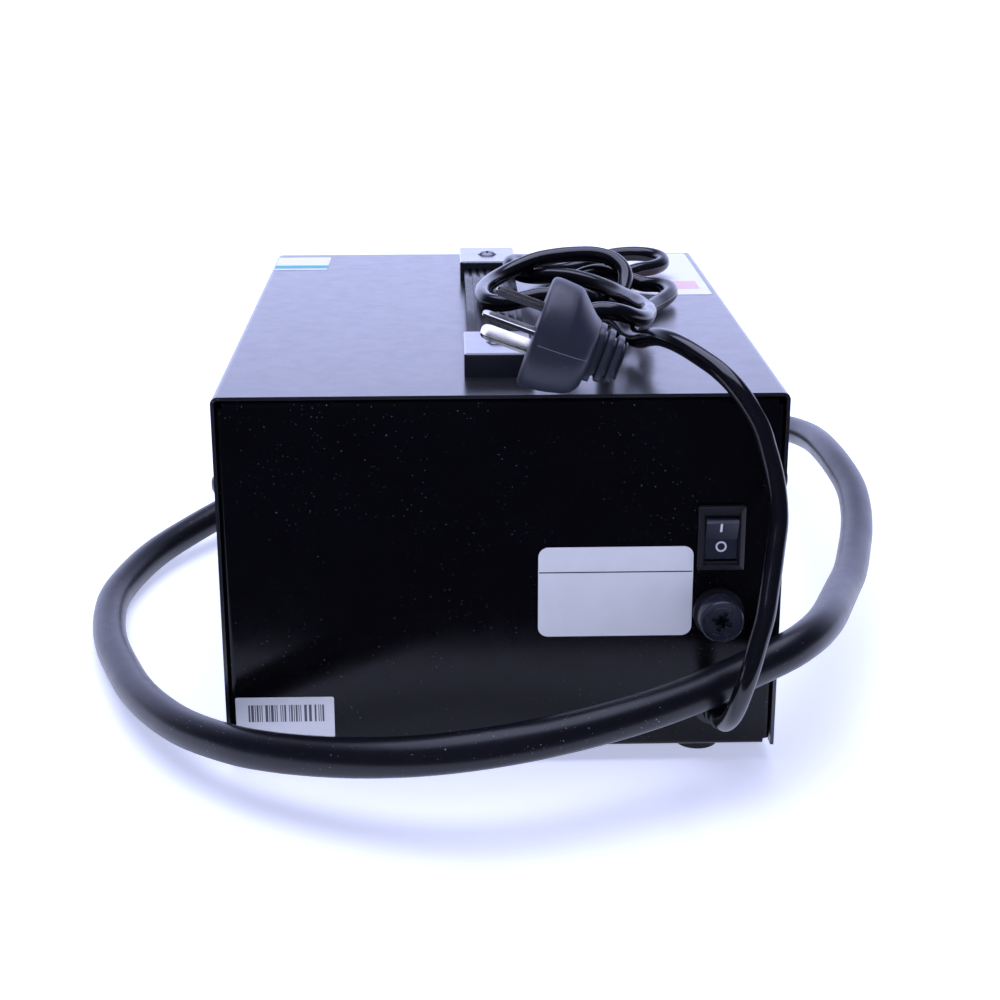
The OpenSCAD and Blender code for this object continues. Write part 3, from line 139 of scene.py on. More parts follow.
def finish_of(name, colour, rough, metal=0.0, spec=0.5, coat=0.0, coat_rough=0.1, vary=0.12, vary_mm=18,
              mottle=0.05, grain_mm=0.5, grain=0.15, depth=0.02, stretch=None, dust=0.0, wave=None, wear=0.0,
              worn=None, clear=0.0, sheen=0.0):
    """A finish: colour drift, mottled roughness, a grain in relief with its depth in millimetres, and dust."""
    m = bpy.data.materials.new(name)
    m.use_nodes = True
    g = Graph(m.node_tree)
    b = m.node_tree.nodes["Principled BSDF"]
    b.inputs["Metallic"].default_value = metal
    b.inputs["Specular IOR Level"].default_value = spec
    b.inputs["Coat Weight"].default_value = coat
    b.inputs["Coat Roughness"].default_value = coat_rough
    b.inputs["Sheen Weight"].default_value = sheen
    if clear:
        b.inputs["Transmission Weight"].default_value = clear
        b.inputs["IOR"].default_value = 1.49
    drift = g.noise(PER_METRE / vary_mm, 4, 0.6, stretch)
    spread = g.ramp(drift, 0.3, 0.7)
    tone = g.mix(spread, rgba(colour, 1 - vary), rgba(colour, 1 + vary))
    if wear:
        rubbed = g.noise(140, 6, 0.7, seed=(3, 1, 7))
        tone = g.mix(g.ramp(rubbed, 0.66, 0.74, 0, wear, smooth=True), tone, rgba(worn or colour, 1.0))
    if dust:
        speck = g.noise(1300, 1, 0.5, seed=(11, 5, 2))
        patch = g.noise(45, 3, 0.6, seed=(1, 9, 4))
        amount = g.math("MULTIPLY", g.ramp(speck, 0.735, 0.76, 0, dust, smooth=True), g.ramp(patch, 0.42, 0.56))
        tone = g.mix(amount, tone, DUST)
    g.put(b.inputs["Base Color"], tone)
    blur = g.noise(PER_METRE / (vary_mm * 0.4), 5, 0.65, stretch, seed=(5, 5, 5))
    g.put(b.inputs["Roughness"], g.ramp(blur, 0.3, 0.7, max(0.02, rough - mottle), min(1.0, rough + mottle)))
    height = g.noise(PER_METRE / grain_mm, 3, 0.55, stretch, seed=(2, 8, 6))
    if wave:
        axis, pitch_mm, share = wave
        place = g.add("ShaderNodeTexCoord").outputs["Object"]
        inputs = {"Vector": place, "Scale": PER_METRE / pitch_mm / WAVES_AT_SCALE_1, "Distortion": 0.0}
        bands = g.add("ShaderNodeTexWave", inputs, bands_direction=axis)
        height = g.math("ADD", height, g.math("MULTIPLY", bands.outputs["Fac"], share))
    bump = g.add("ShaderNodeBump", {"Height": height, "Strength": grain, "Distance": depth * MM})
    g.put(b.inputs["Normal"], bump.outputs[0])
    FINISHES[name] = m
    return m


finish_of("rear_paint", (0.0018, 0.0018, 0.0028), 0.17, spec=0.22, vary=0.2, mottle=0.03, grain_mm=0.9,
          grain=0.2, depth=0.02, dust=0.2)
finish_of("cover_paint", (0.010, 0.010, 0.012), 0.30, spec=0.5, coat=0.6, coat_rough=0.22, vary=0.15,
          mottle=0.03, grain_mm=0.7, grain=0.25, depth=0.02, dust=0.25)
finish_of("floor_paint", (0.010, 0.010, 0.012), 0.42, spec=0.4, grain_mm=0.6, grain=0.3, dust=0.05)
finish_of("printed_sheet", (0.020, 0.022, 0.027), 0.40, spec=0.45, grain_mm=0.25, grain=0.5, depth=0.01,
          vary=0.08)
finish_of("dark_screw", (0.16, 0.16, 0.18), 0.32, metal=1.0, grain_mm=0.3, grain=0.2, wear=0.6,
          worn=(0.5, 0.5, 0.52))
finish_of("bright_screw", (0.62, 0.62, 0.60), 0.28, metal=1.0, grain_mm=0.3, grain=0.2, wear=0.3,
          worn=(0.4, 0.4, 0.4))
finish_of("rubber", (0.014, 0.014, 0.015), 0.62, spec=0.4, grain_mm=0.35, grain=0.4, dust=0.2, sheen=0.05)
finish_of("strap_rubber", (0.006, 0.006, 0.008), 0.36, spec=0.45, grain_mm=0.4, grain=0.35, dust=0.15)
finish_of("black_plastic", (0.010, 0.010, 0.012), 0.40, spec=0.5, grain_mm=0.35, grain=0.35, dust=0.06)
finish_of("cap_plastic", (0.016, 0.018, 0.026), 0.22, spec=0.7, coat=0.9, coat_rough=0.16, grain_mm=0.9,
          grain=0.08, dust=0.1)
finish_of("rocker_plastic", (0.018, 0.019, 0.032), 0.30, spec=0.5, grain_mm=0.8, grain=0.15, depth=0.01)
finish_of("cord_rubber", (0.004, 0.004, 0.006), 0.17, spec=0.5, grain_mm=2.2, grain=0.12, depth=0.02,
          dust=0.06, mottle=0.03)
finish_of("hose_rubber", (0.005, 0.005, 0.008), 0.31, spec=0.34, grain_mm=2.6, grain=0.10, depth=0.03,
          dust=0.45, mottle=0.03)
finish_of("plug_plastic", (0.018, 0.021, 0.034), 0.42, spec=0.55, grain_mm=0.5, grain=0.6, depth=0.05,
          dust=0.10)
# Much lighter than the plug's moulding: a painted highlight for its parting line.
finish_of("plug_edge", (0.11, 0.12, 0.15), 0.5, spec=0.4, grain_mm=0.35, grain=0.4)
finish_of("fuse_plastic", (0.026, 0.028, 0.040), 0.26, spec=0.5, grain_mm=0.5, grain=0.15, depth=0.01,
          dust=0.25)
finish_of("pin_metal", (0.46, 0.45, 0.42), 0.20, metal=1.0, grain_mm=0.6, grain=0.15, depth=0.01,
          stretch=(1, 0.15, 1), wear=0.6, worn=(0.16, 0.14, 0.10))
finish_of("smoked_window", (0.10, 0.012, 0.012), 0.06, spec=0.5, clear=0.55, grain_mm=3, grain=0.02)
finish_of("board", (0.02, 0.12, 0.055), 0.35, spec=0.5, coat=0.4, grain_mm=1.5, grain=0.5, depth=0.04,
          vary=0.3, vary_mm=3)
finish_of("red_key", (0.42, 0.03, 0.025), 0.38, grain_mm=0.4, grain=0.25)
finish_of("blue_key", (0.04, 0.10, 0.33), 0.38, grain_mm=0.4, grain=0.25)
finish_of("knob_plastic", (0.013, 0.013, 0.015), 0.42, grain_mm=0.3, grain=0.4, dust=0.05)
finish_of("zinc", (0.5, 0.5, 0.5), 0.4, metal=1.0, grain_mm=0.8, grain=0.3)
finish_of("grip_plastic", (0.016, 0.016, 0.018), 0.50, grain_mm=0.45, grain=0.8, depth=0.05, dust=0.05)
finish_of("grey_metal", (0.26, 0.26, 0.28), 0.45, metal=0.6, grain_mm=0.5, grain=0.6, depth=0.04)
finish_of("tube_steel", (0.58, 0.57, 0.55), 0.26, metal=1.0, vary=0.2, grain_mm=0.25, grain=0.25, depth=0.01,
          stretch=(1, 1, 0.08), wear=0.25, worn=(0.42, 0.30, 0.18))
finish_of("ceramic", (0.78, 0.74, 0.66), 0.7, grain_mm=0.5, grain=0.5)
finish_of("lamination", (0.20, 0.20, 0.21), 0.45, metal=0.7, grain_mm=0.5, grain=0.9, depth=0.1,
          wave=("Y", 1.0, 1.5))
finish_of("winding_tape", (0.66, 0.50, 0.10), 0.45, spec=0.4, coat=0.3, grain_mm=2.0, grain=0.5, depth=0.1,
          wave=("Z", 6.0, 0.4))
finish_of("copper_tape", (0.42, 0.16, 0.05), 0.4, coat=0.5, grain_mm=0.8, grain=0.8, depth=0.2,
          wave=("Y", 1.2, 1.5))
finish_of("brass_spacer", (0.66, 0.50, 0.22), 0.28, metal=1.0, grain_mm=0.4, grain=0.2)
finish_of("heatsink", (0.62, 0.63, 0.65), 0.32, metal=1.0, grain_mm=0.3, grain=0.3, stretch=(1, 1, 0.1))
finish_of("part_plastic", (0.02, 0.02, 0.022), 0.5, grain_mm=0.5, grain=0.4)
finish_of("pump_plastic", (0.05, 0.05, 0.055), 0.55, grain_mm=0.9, grain=0.6, depth=0.06)
finish_of("arm_steel", (0.10, 0.10, 0.11), 0.4, metal=0.7, grain_mm=0.6, grain=0.4)
finish_of("clear_tube", (0.72, 0.70, 0.66), 0.25, clear=0.5, grain_mm=2, grain=0.1)
finish_of("fuse_glass", (0.80, 0.84, 0.85), 0.08, clear=0.8, grain_mm=3, grain=0.05)
finish_of("label_white", (0.86, 0.86, 0.84), 0.45, spec=0.35, vary=0.02, vary_mm=9, grain_mm=0.4, grain=0.15,
          depth=0.01, mottle=0.06)
finish_of("label_ink", (0.02, 0.02, 0.024), 0.4, spec=0.4, grain_mm=0.3, grain=0.1, depth=0.01)
finish_of("bar_ink", (0.11, 0.11, 0.13), 0.4, spec=0.4, grain_mm=0.3, grain=0.1, depth=0.01)
finish_of("label_pink", (0.82, 0.52, 0.55), 0.45, spec=0.3, vary=0.06, grain_mm=0.3, grain=0.1, depth=0.01)
finish_of("label_teal", (0.06, 0.42, 0.46), 0.45, spec=0.3, vary=0.06, grain_mm=0.3, grain=0.1, depth=0.01)
finish_of("white_mark", (0.72, 0.72, 0.74), 0.5, spec=0.3, vary=0.05, grain_mm=0.3, grain=0.2, depth=0.01)
finish_of("faint_mark", (0.075, 0.077, 0.085), 0.5, spec=0.3, vary=0.3, vary_mm=3, grain_mm=0.3, grain=0.2)
# Near-black matte finish: painted shade for the inside of a hollow.
finish_of("painted_recess_shade", (0.0012, 0.0012, 0.0016), 0.9, spec=0.05, grain_mm=0.4, grain=0.2)

SLOT_OF = {row["node"]: row["material_slot"] for row in frame["record"]["subparts"]}
NODE_FINISH = {
    "chassis": "rear_paint", "front_panel": "floor_paint", "top_cover": "cover_paint",
    "handle_cap_rear": "cap_plastic", "handle_cap_front": "cap_plastic",
}
for node, obj in frame["nodes"].items():
    name = NODE_FINISH.get(node, SLOT_OF.get(node, "black_plastic"))
    obj.data.materials.clear()
    obj.data.materials.append(FINISHES[name])


# Shapes
def piece(name, verts, faces, finish, body="station", smooth=True, indices=None, uvs=None):
    """A mesh piece from millimetre points, with one finish or several."""
    mesh = bpy.data.meshes.new(name)
    mesh.from_pydata([tuple(MM * c for c in v) for v in verts], [], [list(f) for f in faces])
    for f in finish if isinstance(finish, (list, tuple)) else [finish]:
        mesh.materials.append(FINISHES[f])
    if indices is not None:
        mesh.polygons.foreach_set("material_index", indices)
    mesh.polygons.foreach_set("use_smooth", [smooth] * len(mesh.polygons))
    if uvs is not None:
        layer = mesh.uv_layers.new(name="UVMap")
        for poly in mesh.polygons:
            for corner in poly.loop_indices:
                layer.data[corner].uv = uvs[mesh.loops[corner].vertex_index]
    mesh.update()
    mesh.validate()
    obj = bpy.data.objects.new(name, mesh)
    bpy.context.scene.collection.objects.link(obj)
    if body:
        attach(obj, body)
    return obj


def along(points, steps):
    """A smooth line through the points."""
    q = np.array(points, float)
    a = np.vstack([2 * q[0] - q[1], q, 2 * q[-1] - q[-2]])
    out = []
    for i in range(1, len(a) - 2):
        for t in np.arange(steps) / steps:
            out.append(0.5 * (2 * a[i] + (a[i + 1] - a[i - 1]) * t
                              + (2 * a[i - 1] - 5 * a[i] + 4 * a[i + 1] - a[i + 2]) * t * t
                              + (3 * a[i] - a[i - 1] - 3 * a[i + 1] + a[i + 2]) * t ** 3))
    out.append(a[-2])
    return np.array(out)


def tube(name, line, radius, sides, finish, body):
    """A tube round a line, with flat closed ends."""
    n = len(line)
    heading = np.gradient(line, axis=0)
    heading /= np.linalg.norm(heading, axis=1)[:, None]
    across = np.cross(heading[0], [0, 0, 1.0])
    if np.linalg.norm(across) < 1e-6:
        across = np.array([1.0, 0, 0])
    gone = np.r_[0, np.cumsum(np.linalg.norm(np.diff(line, axis=0), axis=1))]
    verts, faces, uvs = [], [], []
    for i in range(n):
        across = across - heading[i] * across.dot(heading[i])
        across /= np.linalg.norm(across)
        up_ = np.cross(heading[i], across)
        for k in range(sides):
            a = 2 * math.pi * k / sides
            verts.append(line[i] + radius * (math.cos(a) * across + math.sin(a) * up_))
            uvs.append((gone[i] * MM, k / sides))
    for i in range(n - 1):
        for k in range(sides):
            l = (k + 1) % sides
            faces.append((i * sides + k, i * sides + l, (i + 1) * sides + l, (i + 1) * sides + k))
    faces.append(tuple(range(sides))[::-1])
    faces.append(tuple(range((n - 1) * sides, n * sides)))
    return piece(name, verts, faces, finish, body, True, uvs=uvs)


# The mains lead: out of its strain relief, up over the edge, through the loose coil and back to the plug
LEAD = [
    (-72.5, 140, 23), (-72.7, 147, 25.2), (-73.1, 153.4, 29.2), (-73.6, 158.6, 33.8), (-74.4, 162.4, 39.4),
    (-75.8, 164.5, 46.2), (-77.7, 164.6, 53.4), (-79.7, 162.8, 60.4), (-81.9, 160.3, 67.5),
    (-83.6, 155.6, 73.8), (-85.3, 150.9, 80), (-86.8, 146.3, 86.4), (-88.2, 141.8, 92.8),
    (-88.2, 138.2, 99.9), (-87.1, 135.6, 107.2), (-85, 134, 114.8), (-82.5, 133.2, 122.3),
    (-78.7, 131, 128.9), (-74.4, 127.7, 134.5), (-69.8, 122.5, 138.4), (-65.3, 116.4, 140.8),
    (-61, 109.9, 142.6), (-57, 102.9, 143.5), (-53.7, 95.4, 143), (-51.1, 88, 141.1), (-48.8, 80.6, 138.7),
    (-46.7, 72.9, 138.1), (-44.7, 65.2, 139.7), (-42.5, 57.4, 140.3), (-40.2, 49.9, 138.1),
    (-37.8, 42.6, 135.5), (-35.1, 35.1, 134.3), (-32.4, 27.4, 134.2), (-30.1, 19.6, 134.2),
    (-28.7, 11.7, 134.2), (-28.8, 3.5, 134.1), (-30.3, -4.4, 134.2), (-32.8, -12, 134.2), (-36, -19.4, 134.2),
    (-39.8, -26.6, 134.2), (-44, -33.5, 134.1), (-49.1, -39.8, 134.8), (-55, -45.4, 136.3),
    (-61.4, -50.3, 137.4), (-68, -55.4, 137.4), (-72.6, -61.8, 137.9), (-72.7, -69.1, 139),
    (-67.8, -74.9, 139.4), (-60.1, -77.8, 139.2), (-52, -77.8, 138.2), (-44.3, -75.5, 136.2),
    (-37.1, -71.9, 134.5), (-30.2, -67.4, 134.2), (-23.8, -62.5, 135.5), (-17.9, -57.3, 138.3),
    (-12.8, -51.2, 141.1), (-9.1, -44, 142.3), (-8.7, -36.1, 141.8), (-12.1, -29.2, 140.3),
    (-17.9, -24, 140.3), (-24.5, -19.7, 141.4), (-31, -15.1, 141.8), (-36.8, -9.6, 141.5), (-41.8, -3.3, 141),
    (-45.8, 3.6, 140.5), (-48.9, 10.9, 140), (-51.3, 18.5, 140.2), (-53.2, 26.2, 140.4), (-54.8, 34, 140.3),
    (-55.7, 41.7, 140.7), (-55, 49.5, 141.3), (-53.5, 57.3, 141.8), (-51.7, 64.9, 142.7),
    (-48.1, 71.6, 144.4), (-42.1, 76, 147.1), (-34.7, 77.8, 148.2), (-27.7, 77.2, 145.6),
    (-23.5, 73.7, 140.5), (-23.2, 67.8, 136.1), (-25.7, 60.9, 134.3), (-29.1, 53.8, 134.2),
    (-31.2, 46.5, 135.3), (-30.3, 40, 138.6), (-25.8, 36.2, 142.9), (-18.7, 35.7, 144.9),
    (-10.9, 36.8, 143.8), (-3.4, 36, 142.2), (1.8, 31.2, 141.9), (3.7, 23.7, 142.1), (3.9, 15.5, 142.1),
    (3.2, 7.4, 142.1), (1.5, -0.6, 142.1), (-1.4, -8.2, 142.5), (-5.9, -14.9, 143.6), (-11.7, -20.5, 145.3),
    (-18.5, -24.9, 146.9), (-26.2, -28.2, 147.7), (-34.3, -30.1, 148), (-42.6, -30.1, 147.8),
    (-49.7, -27.5, 145.9), (-53.3, -22.2, 142.1), (-52.6, -15.6, 138), (-50.2, -8.5, 135.1),
    (-46.7, -1.5, 134.1), (-41.7, 4.2, 135.2), (-35.3, 6.9, 138.4), (-28.4, 5.4, 140.4), (-23.3, 0.3, 138.8),
    (-21.5, -6.8, 135.8), (-22.9, -14.4, 134.2), (-26.7, -21.3, 134.8), (-32.1, -26.8, 137.3),
    (-38.8, -30.7, 139.9), (-46.4, -32.9, 140.2), (-54.1, -33.4, 137.7), (-61.3, -31.5, 135.5),
    (-67.4, -27.1, 136), (-70.6, -20.3, 136.1), (-70.3, -12.6, 135.3), (-67.2, -5.2, 134.7),
    (-63.3, 1.9, 134.3), (-59.8, 9.1, 134.2), (-56.7, 16.6, 134.2), (-54.1, 24.3, 134.1),
    (-51.8, 32.1, 134.2), (-49.7, 40, 134.2), (-47.5, 47.8, 134.2), (-44.9, 55.5, 134.1), (-41.8, 63, 134.1),
    (-39.1, 70.6, 134.6), (-37.5, 78.4, 136), (-36.7, 86.2, 137.6), (-36, 93.9, 139.3), (-35.3, 101.6, 141.3),
    (-35, 105.5, 142.3),
]
LEAD_IN_GLAND, LEAD_IN_PLUG = (-72.5, 136.5, 23), (-34.7, 109.2, 143.3)
LEAD_RADIUS = 3.12


lead_line = along([LEAD_IN_GLAND] + LEAD + [LEAD_IN_PLUG], 4)
lead = tube("mains_lead", lead_line, LEAD_RADIUS, 18, "cord_rubber", "station")
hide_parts("mains_cord", "cord_coil", "cord_tail")

# The air hose: from the outlet on the front, round the -X side, the rear and the +X side to the handpiece
HOSE = [
    (-52, -150, 35), (-52, -162, 35), (-56, -182, 33.8), (-67.5, -199, 31), (-84.5, -210.5, 28),
    (-104.5, -214.5, 26.5), (-124.5, -210.5, 26.5), (-141.5, -199, 28), (-152.5, -182, 31), (-157, -162, 34),
    (-158.5, -141, 36.8), (-158.5, -118, 39), (-158.5, -92, 40), (-158, -62, 39.4), (-155, -36.5, 38.3),
    (-150, -11, 37.1), (-143.5, 14, 36.6), (-136.5, 39, 37), (-128, 63.5, 39), (-120, 87.5, 42.1),
    (-114.2, 104, 44.2), (-106.5, 120, 45.4), (-96.5, 132.6, 44.9), (-83.6, 141.4, 42.8), (-69, 150, 40.1),
    (-53.6, 158.5, 38), (-38, 166, 36.4), (-21.5, 172.5, 35), (-4.7, 176.8, 33.4), (13, 178, 31.2),
    (29.5, 175.5, 28.5), (46, 170.5, 25.8), (61.5, 163.5, 23.2), (76, 155, 20.8), (89.5, 144.5, 18.5),
    (107, 125.5, 15.4), (121, 103.5, 12.8), (132, 80.5, 10.5), (141, 56, 8.7), (149, 31.5, 7.3),
    (154.5, 6.5, 6.6), (157, -19.5, 6.8), (154, -45, 7.5), (147, -70, 8.8), (135.5, -93, 10.6),
    (121, -114.5, 13.3), (104, -133.5, 16), (92, -144, 17), (84, -150, 17),
]
HOSE_IN_BOOT, HOSE_IN_TOOL = (-52, -141, 35), (77.6, -154.8, 17)
HOSE_RADIUS = 6.5
hose_line = along([HOSE_IN_BOOT] + HOSE + [HOSE_IN_TOOL], 5)
hose = tube("supply_hose", hose_line, HOSE_RADIUS, 28, "hose_rubber", None)
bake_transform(hose)
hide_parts("air_hose")


# Stickers and marks
def rounded(w, h, r, steps=7):
    """Outline of a rectangle with round corners about its middle."""
    out = []
    for cx, cy, a0 in ((w / 2 - r, h / 2 - r, 0), (r - w / 2, h / 2 - r, 90), (r - w / 2, r - h / 2, 180),
                       (w / 2 - r, r - h / 2, 270)):
        for k in range(steps + 1):
            a = math.radians(a0 + 90 * k / steps)
            out.append((cx + r * math.cos(a), cy + r * math.sin(a)))
    return out


EASED = 0.03
THICK_PRINT = 0.05


class Sheet:
    """Flat prints and stickers on one face: at is its place, u and v its directions, n its outward normal."""

    def __init__(self, at, u, v):
        self.at, self.u, self.v = (np.array(a, float) for a in (at, u, v))
        self.n = np.cross(self.u, self.v)
        self.verts, self.faces, self.marks, self.names = [], [], [], []

    def lay(self, outline, finish, low=0.0, high=0.1, shift=(0, 0)):
        """One closed print from low to high above the face; a thick one ends a little lower than a thin one."""
        if finish not in self.names:
            self.names.append(finish)
        base, n = len(self.verts), len(outline)
        for z in (low, high - EASED if high - low > THICK_PRINT else high):
            for a, b in outline:
                self.verts.append(self.at + (a + shift[0]) * self.u + (b + shift[1]) * self.v + z * self.n)
        self.faces.append([base + n + k for k in range(n)])
        for k in range(n):
            l = (k + 1) % n
            self.faces.append([base + k, base + l, base + n + l, base + n + k])
        self.marks += [self.names.index(finish)] * (n + 1)
        return self

    def make(self, name, body="station"):
        return piece(name, self.verts, self.faces, self.names, body, False, self.marks)


def box_outline(w, h):
    return [(w / 2, h / 2), (-w / 2, h / 2), (-w / 2, -h / 2), (w / 2, -h / 2)]


# Rear panel: the bare rating plate and the small bar label. Seen from behind, u runs to -X
rear = dict(u=(-1, 0, 0), v=(0, 0, 1))
plate = Sheet((-37.9, HALF_D, 62.95), **rear)
plate.lay(rounded(51.6, 31.7, 3.4), "label_white", 0, 0.14)
plate.lay(box_outline(51.0, 0.4), "label_ink", 0.1, 0.16, (0, 7.0))
plate.make("rating_plate")
bars = Sheet((73.55, HALF_D, 18.6), **rear)
bars.lay(rounded(33.3, 15.0, 0.6, 3), "label_white", 0, 0.12)
BAR_START, BAR_END, BAR_HIGH = -12.4, 13.4, 6.2
dice = random.Random(7)
at = BAR_START
while at < BAR_END:
    w = dice.choice((0.3, 0.3, 0.6, 0.9))
    bars.lay(box_outline(w, BAR_HIGH), "bar_ink", 0.09, 0.14, (at + w / 2, 1.6))
    at += w + dice.choice((0.35, 0.35, 0.7, 1.0))
bars.make("bar_label")

# Top: two stickers near the front edge
top = dict(u=(1, 0, 0), v=(0, 1, 0))
small = Sheet((80.5, -103.5, TOP_Z), **top)
small.lay(rounded(23, 29, 1.2), "label_white", 0, 0.12)
small.lay(box_outline(23, 7), "label_teal", 0.1, 0.13, (0, 8))
small.make("top_sticker_small")
large = Sheet((-67.5, -76.5, TOP_Z), **top)
large.lay(rounded(45, 91, 1.5), "label_white", 0, 0.12)
large.lay(box_outline(38, 16), "label_pink", 0.1, 0.13, (0, 26))
large.make("top_sticker_large")

# The plug, in its own axes: Z the way the pins point, X down, Y to the rear
PLUG_AT = np.array((-10.6, 123.4, 152.0))
PLUG_Z = np.array((0.9368, -0.1001, 0.3355))
PLUG_Y = np.array((0.1063, 0.9943, 0.0))
PLUG_X = np.cross(PLUG_Y, PLUG_Z)
plug_axes = (PLUG_X, PLUG_Y, PLUG_Z)


def loft(name, loops, finish, body, slot, at, axes, close=(True, True), smooth=True, crease=None):
    """A skin through loops of (x, y, z) points given in a piece's own axes."""
    n = len(loops[0])
    verts = [at + x * axes[0] + y * axes[1] + z * axes[2] for loop in loops for x, y, z in loop]
    faces = []
    for i in range(len(loops) - 1):
        for k in range(n):
            l = (k + 1) % n
            faces.append((i * n + k, i * n + l, (i + 1) * n + l, (i + 1) * n + k))
    if close[0]:
        faces.append(tuple(range(n))[::-1])
    if close[1]:
        faces.append(tuple(range((len(loops) - 1) * n, len(loops) * n)))
    obj = piece(name, verts, faces, finish, body, smooth)
    if crease:
        obj.data.set_sharp_from_angle(angle=math.radians(crease))
    return obj


def oval(a, b, z, power=2.0, n=72):
    """One loop: a superellipse of half widths a and b at height z."""
    out = []
    for k in range(n):
        t = 2 * math.pi * k / n
        c, d = math.cos(t), math.sin(t)
        x, y = (math.copysign(abs(v) ** (2 / power), v) for v in (c, d))
        out.append((a * x, b * y, z))
    return out


def plug_loop(z, high, low, deep, n=72):
    """One loop of the plug's body: half heights above and below its axis, and half depth."""
    out = []
    for k in range(n):
        t = 2 * math.pi * k / n
        c, d = math.cos(t), math.sin(t)
        out.append(((low if c > 0 else high) * c, deep * d, z))
    return out


profile = [
    (0.0, 0.5, 0.5, 0.5), (0.0, 16.9, 16.9, 16.9), (-0.25, 17.6, 17.6, 17.6), (-0.8, 18.1, 18.1, 18.1),
    (-1.4, 18.3, 18.3, 18.3), (-2.0, 18.4, 18.4, 18.4), (-4.0, 18.4, 18.2, 18.4), (-7.0, 18.2, 17.8, 18.2),
    (-9.4, 18.0, 17.4, 18.0), (-10.4, 17.6, 17.2, 17.8), (-11.2, 16.9, 17.0, 17.6), (-12.2, 15.9, 16.7, 17.4),
    (-15.2, 12.8, 15.9, 16.7), (-17.2, 11.0, 14.8, 15.9), (-18.4, 10.2, 13.4, 14.9), (-19.1, 9.8, 12.0, 13.6),
    (-19.4, 9.3, 10.4, 11.4),
]
plug_place = ("station", "plug_plastic", PLUG_AT, plug_axes)
plug = loft("plug_moulding", [plug_loop(*row) for row in profile], "plug_plastic", *plug_place, crease=50)
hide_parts("plug_body")
NECK_TOP, NECK_RIBS, NECK_PITCH = -19.0, 3, 3.3
z = NECK_TOP
neck_loops = [oval(9.0, 8.0, z, 3.2)]
for k in range(NECK_RIBS):
    wide, deep = 9.3 - 0.9 * k, 7.4 - 0.7 * k
    for more_w, more_d, drop, power in ((0, 0, 0.5, 3.4), (0.15, 0.15, 1.0, 3.4), (0, 0, 2.3, 3.4),
                                        (-2.0, -1.7, 2.5, 3.0), (-2.1, -1.8, 3.2, 3.0)):
        neck_loops.append(oval(wide + more_w, deep + more_d, z - drop, power))
    z -= NECK_PITCH
neck_loops += [oval(6.4, 5.6, z - 0.1, 2.6), oval(6.2, 5.4, z - 0.5, 2.4)]
loft("plug_neck", neck_loops, "plug_plastic", *plug_place, crease=40)

# The parting line: a strip with two edges above the moulding and two below its surface, in a lighter finish
# that is a painted highlight along the seam
SEAM_HALF, SEAM_PROUD, SEAM_DEEP = 0.14, 0.06, 0.3
seam_rows = profile[5:-2]
seam_verts = [PLUG_AT + x * PLUG_X + (row[3] + SEAM_PROUD) * PLUG_Y + row[0] * PLUG_Z
              for row in seam_rows for x in (-SEAM_HALF, SEAM_HALF)]
below = len(seam_verts)
seam_verts += [v - SEAM_DEEP * PLUG_Y for v in seam_verts]
seam_faces = []
for a, b, c, d in ((0, 1, 3, 2), (below, 2 + below, 3 + below, 1 + below), (0, 2, 2 + below, below),
                   (1, 1 + below, 3 + below, 3)):
    seam_faces += [(2 * i + a, 2 * i + b, 2 * i + c, 2 * i + d) for i in range(len(seam_rows) - 1)]
piece("plug_parting_line", seam_verts, seam_faces, "plug_edge", "station", True)


PIN_HALF_W, PIN_HALF_T, PIN_EDGE = 3.12, 0.76, 0.2


def pin(name, x, y, degrees, long):
    """One flat pin with a rounded tip and softened edges."""
    c, d = math.cos(math.radians(degrees)), math.sin(math.radians(degrees))
    loops = []
    for z, w, t in ((-1.0, PIN_HALF_W, PIN_HALF_T), (long - 6, PIN_HALF_W, PIN_HALF_T),
                    (long - 2.6, 3.10, PIN_HALF_T), (long - 1.2, 2.75, 0.70), (long - 0.4, 2.1, 0.55),
                    (long - 0.05, 1.3, 0.3)):
        w_in, t_in = w - PIN_EDGE, t - PIN_EDGE
        section = [(w_in, t), (w, t_in), (w, -t_in), (w_in, -t),
                   (-w_in, -t), (-w, -t_in), (-w, t_in), (-w_in, t)]
        loops.append([(x + u * c - v * d, y + u * d + v * c, z) for u, v in section])
    blade = loft(name, loops, "pin_metal", "station", "pin_metal", PLUG_AT, plug_axes, crease=25)
    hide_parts("plug_pins")


pin("plug_pin_earth", -1.8, 9.6, 90, 17.4)
pin("plug_pin_low", 6.85, -4, 60, 16.2)
pin("plug_pin_high", -7.1, -4, -60, 16.0)

# Switch: the bezel's bevelled frame and the marks on the rocker
SWITCH = (-72.5, 82.0)
CORNERS = ((-1, -1), (1, -1), (1, 1), (-1, 1))
bezel_rows = [(7.75, 11.0, 126.5), (7.6, 10.85, 126.62), (6.3, 9.5, 127.25), (5.95, 9.15, 127.25),
              (5.75, 8.95, 126.5)]
verts, faces = [], []
for half_w, half_h, y in bezel_rows:
    verts += [(SWITCH[0] + a * half_w, y, SWITCH[1] + b * half_h) for a, b in CORNERS]
for i in range(len(bezel_rows) - 1):
    for k in range(4):
        l = (k + 1) % 4
        faces.append((4 * i + k, 4 * i + 4 + k, 4 * i + 4 + l, 4 * i + l))
piece("switch_bezel_frame", verts, faces, "black_plastic", "station", False)


def print_on(name, node, body, quads, finish, proud=0.06, start=0.2):
    """Lays flat quads given as (x, z) on a node's rear face, which it finds by looking along -Y from start."""
    mesh = frame["nodes"][node].data
    corners = [v.co.copy() for v in mesh.vertices]
    tree = BVHTree.FromPolygons(corners, [tuple(p.vertices) for p in mesh.polygons])
    verts, faces = [], []
    for quad in quads:
        hits = []
        for x, z in quad:
            at = tree.ray_cast(Vector((x * MM, start, z * MM)), Vector((0, -1, 0)))[0]
            if at is None:
                break
            hits.append((x, at.y / MM + proud, z))
        if len(hits) == len(quad):
            faces.append(tuple(range(len(verts), len(verts) + len(quad))))
            verts += hits
    return piece(name, verts, faces, finish, body, False)


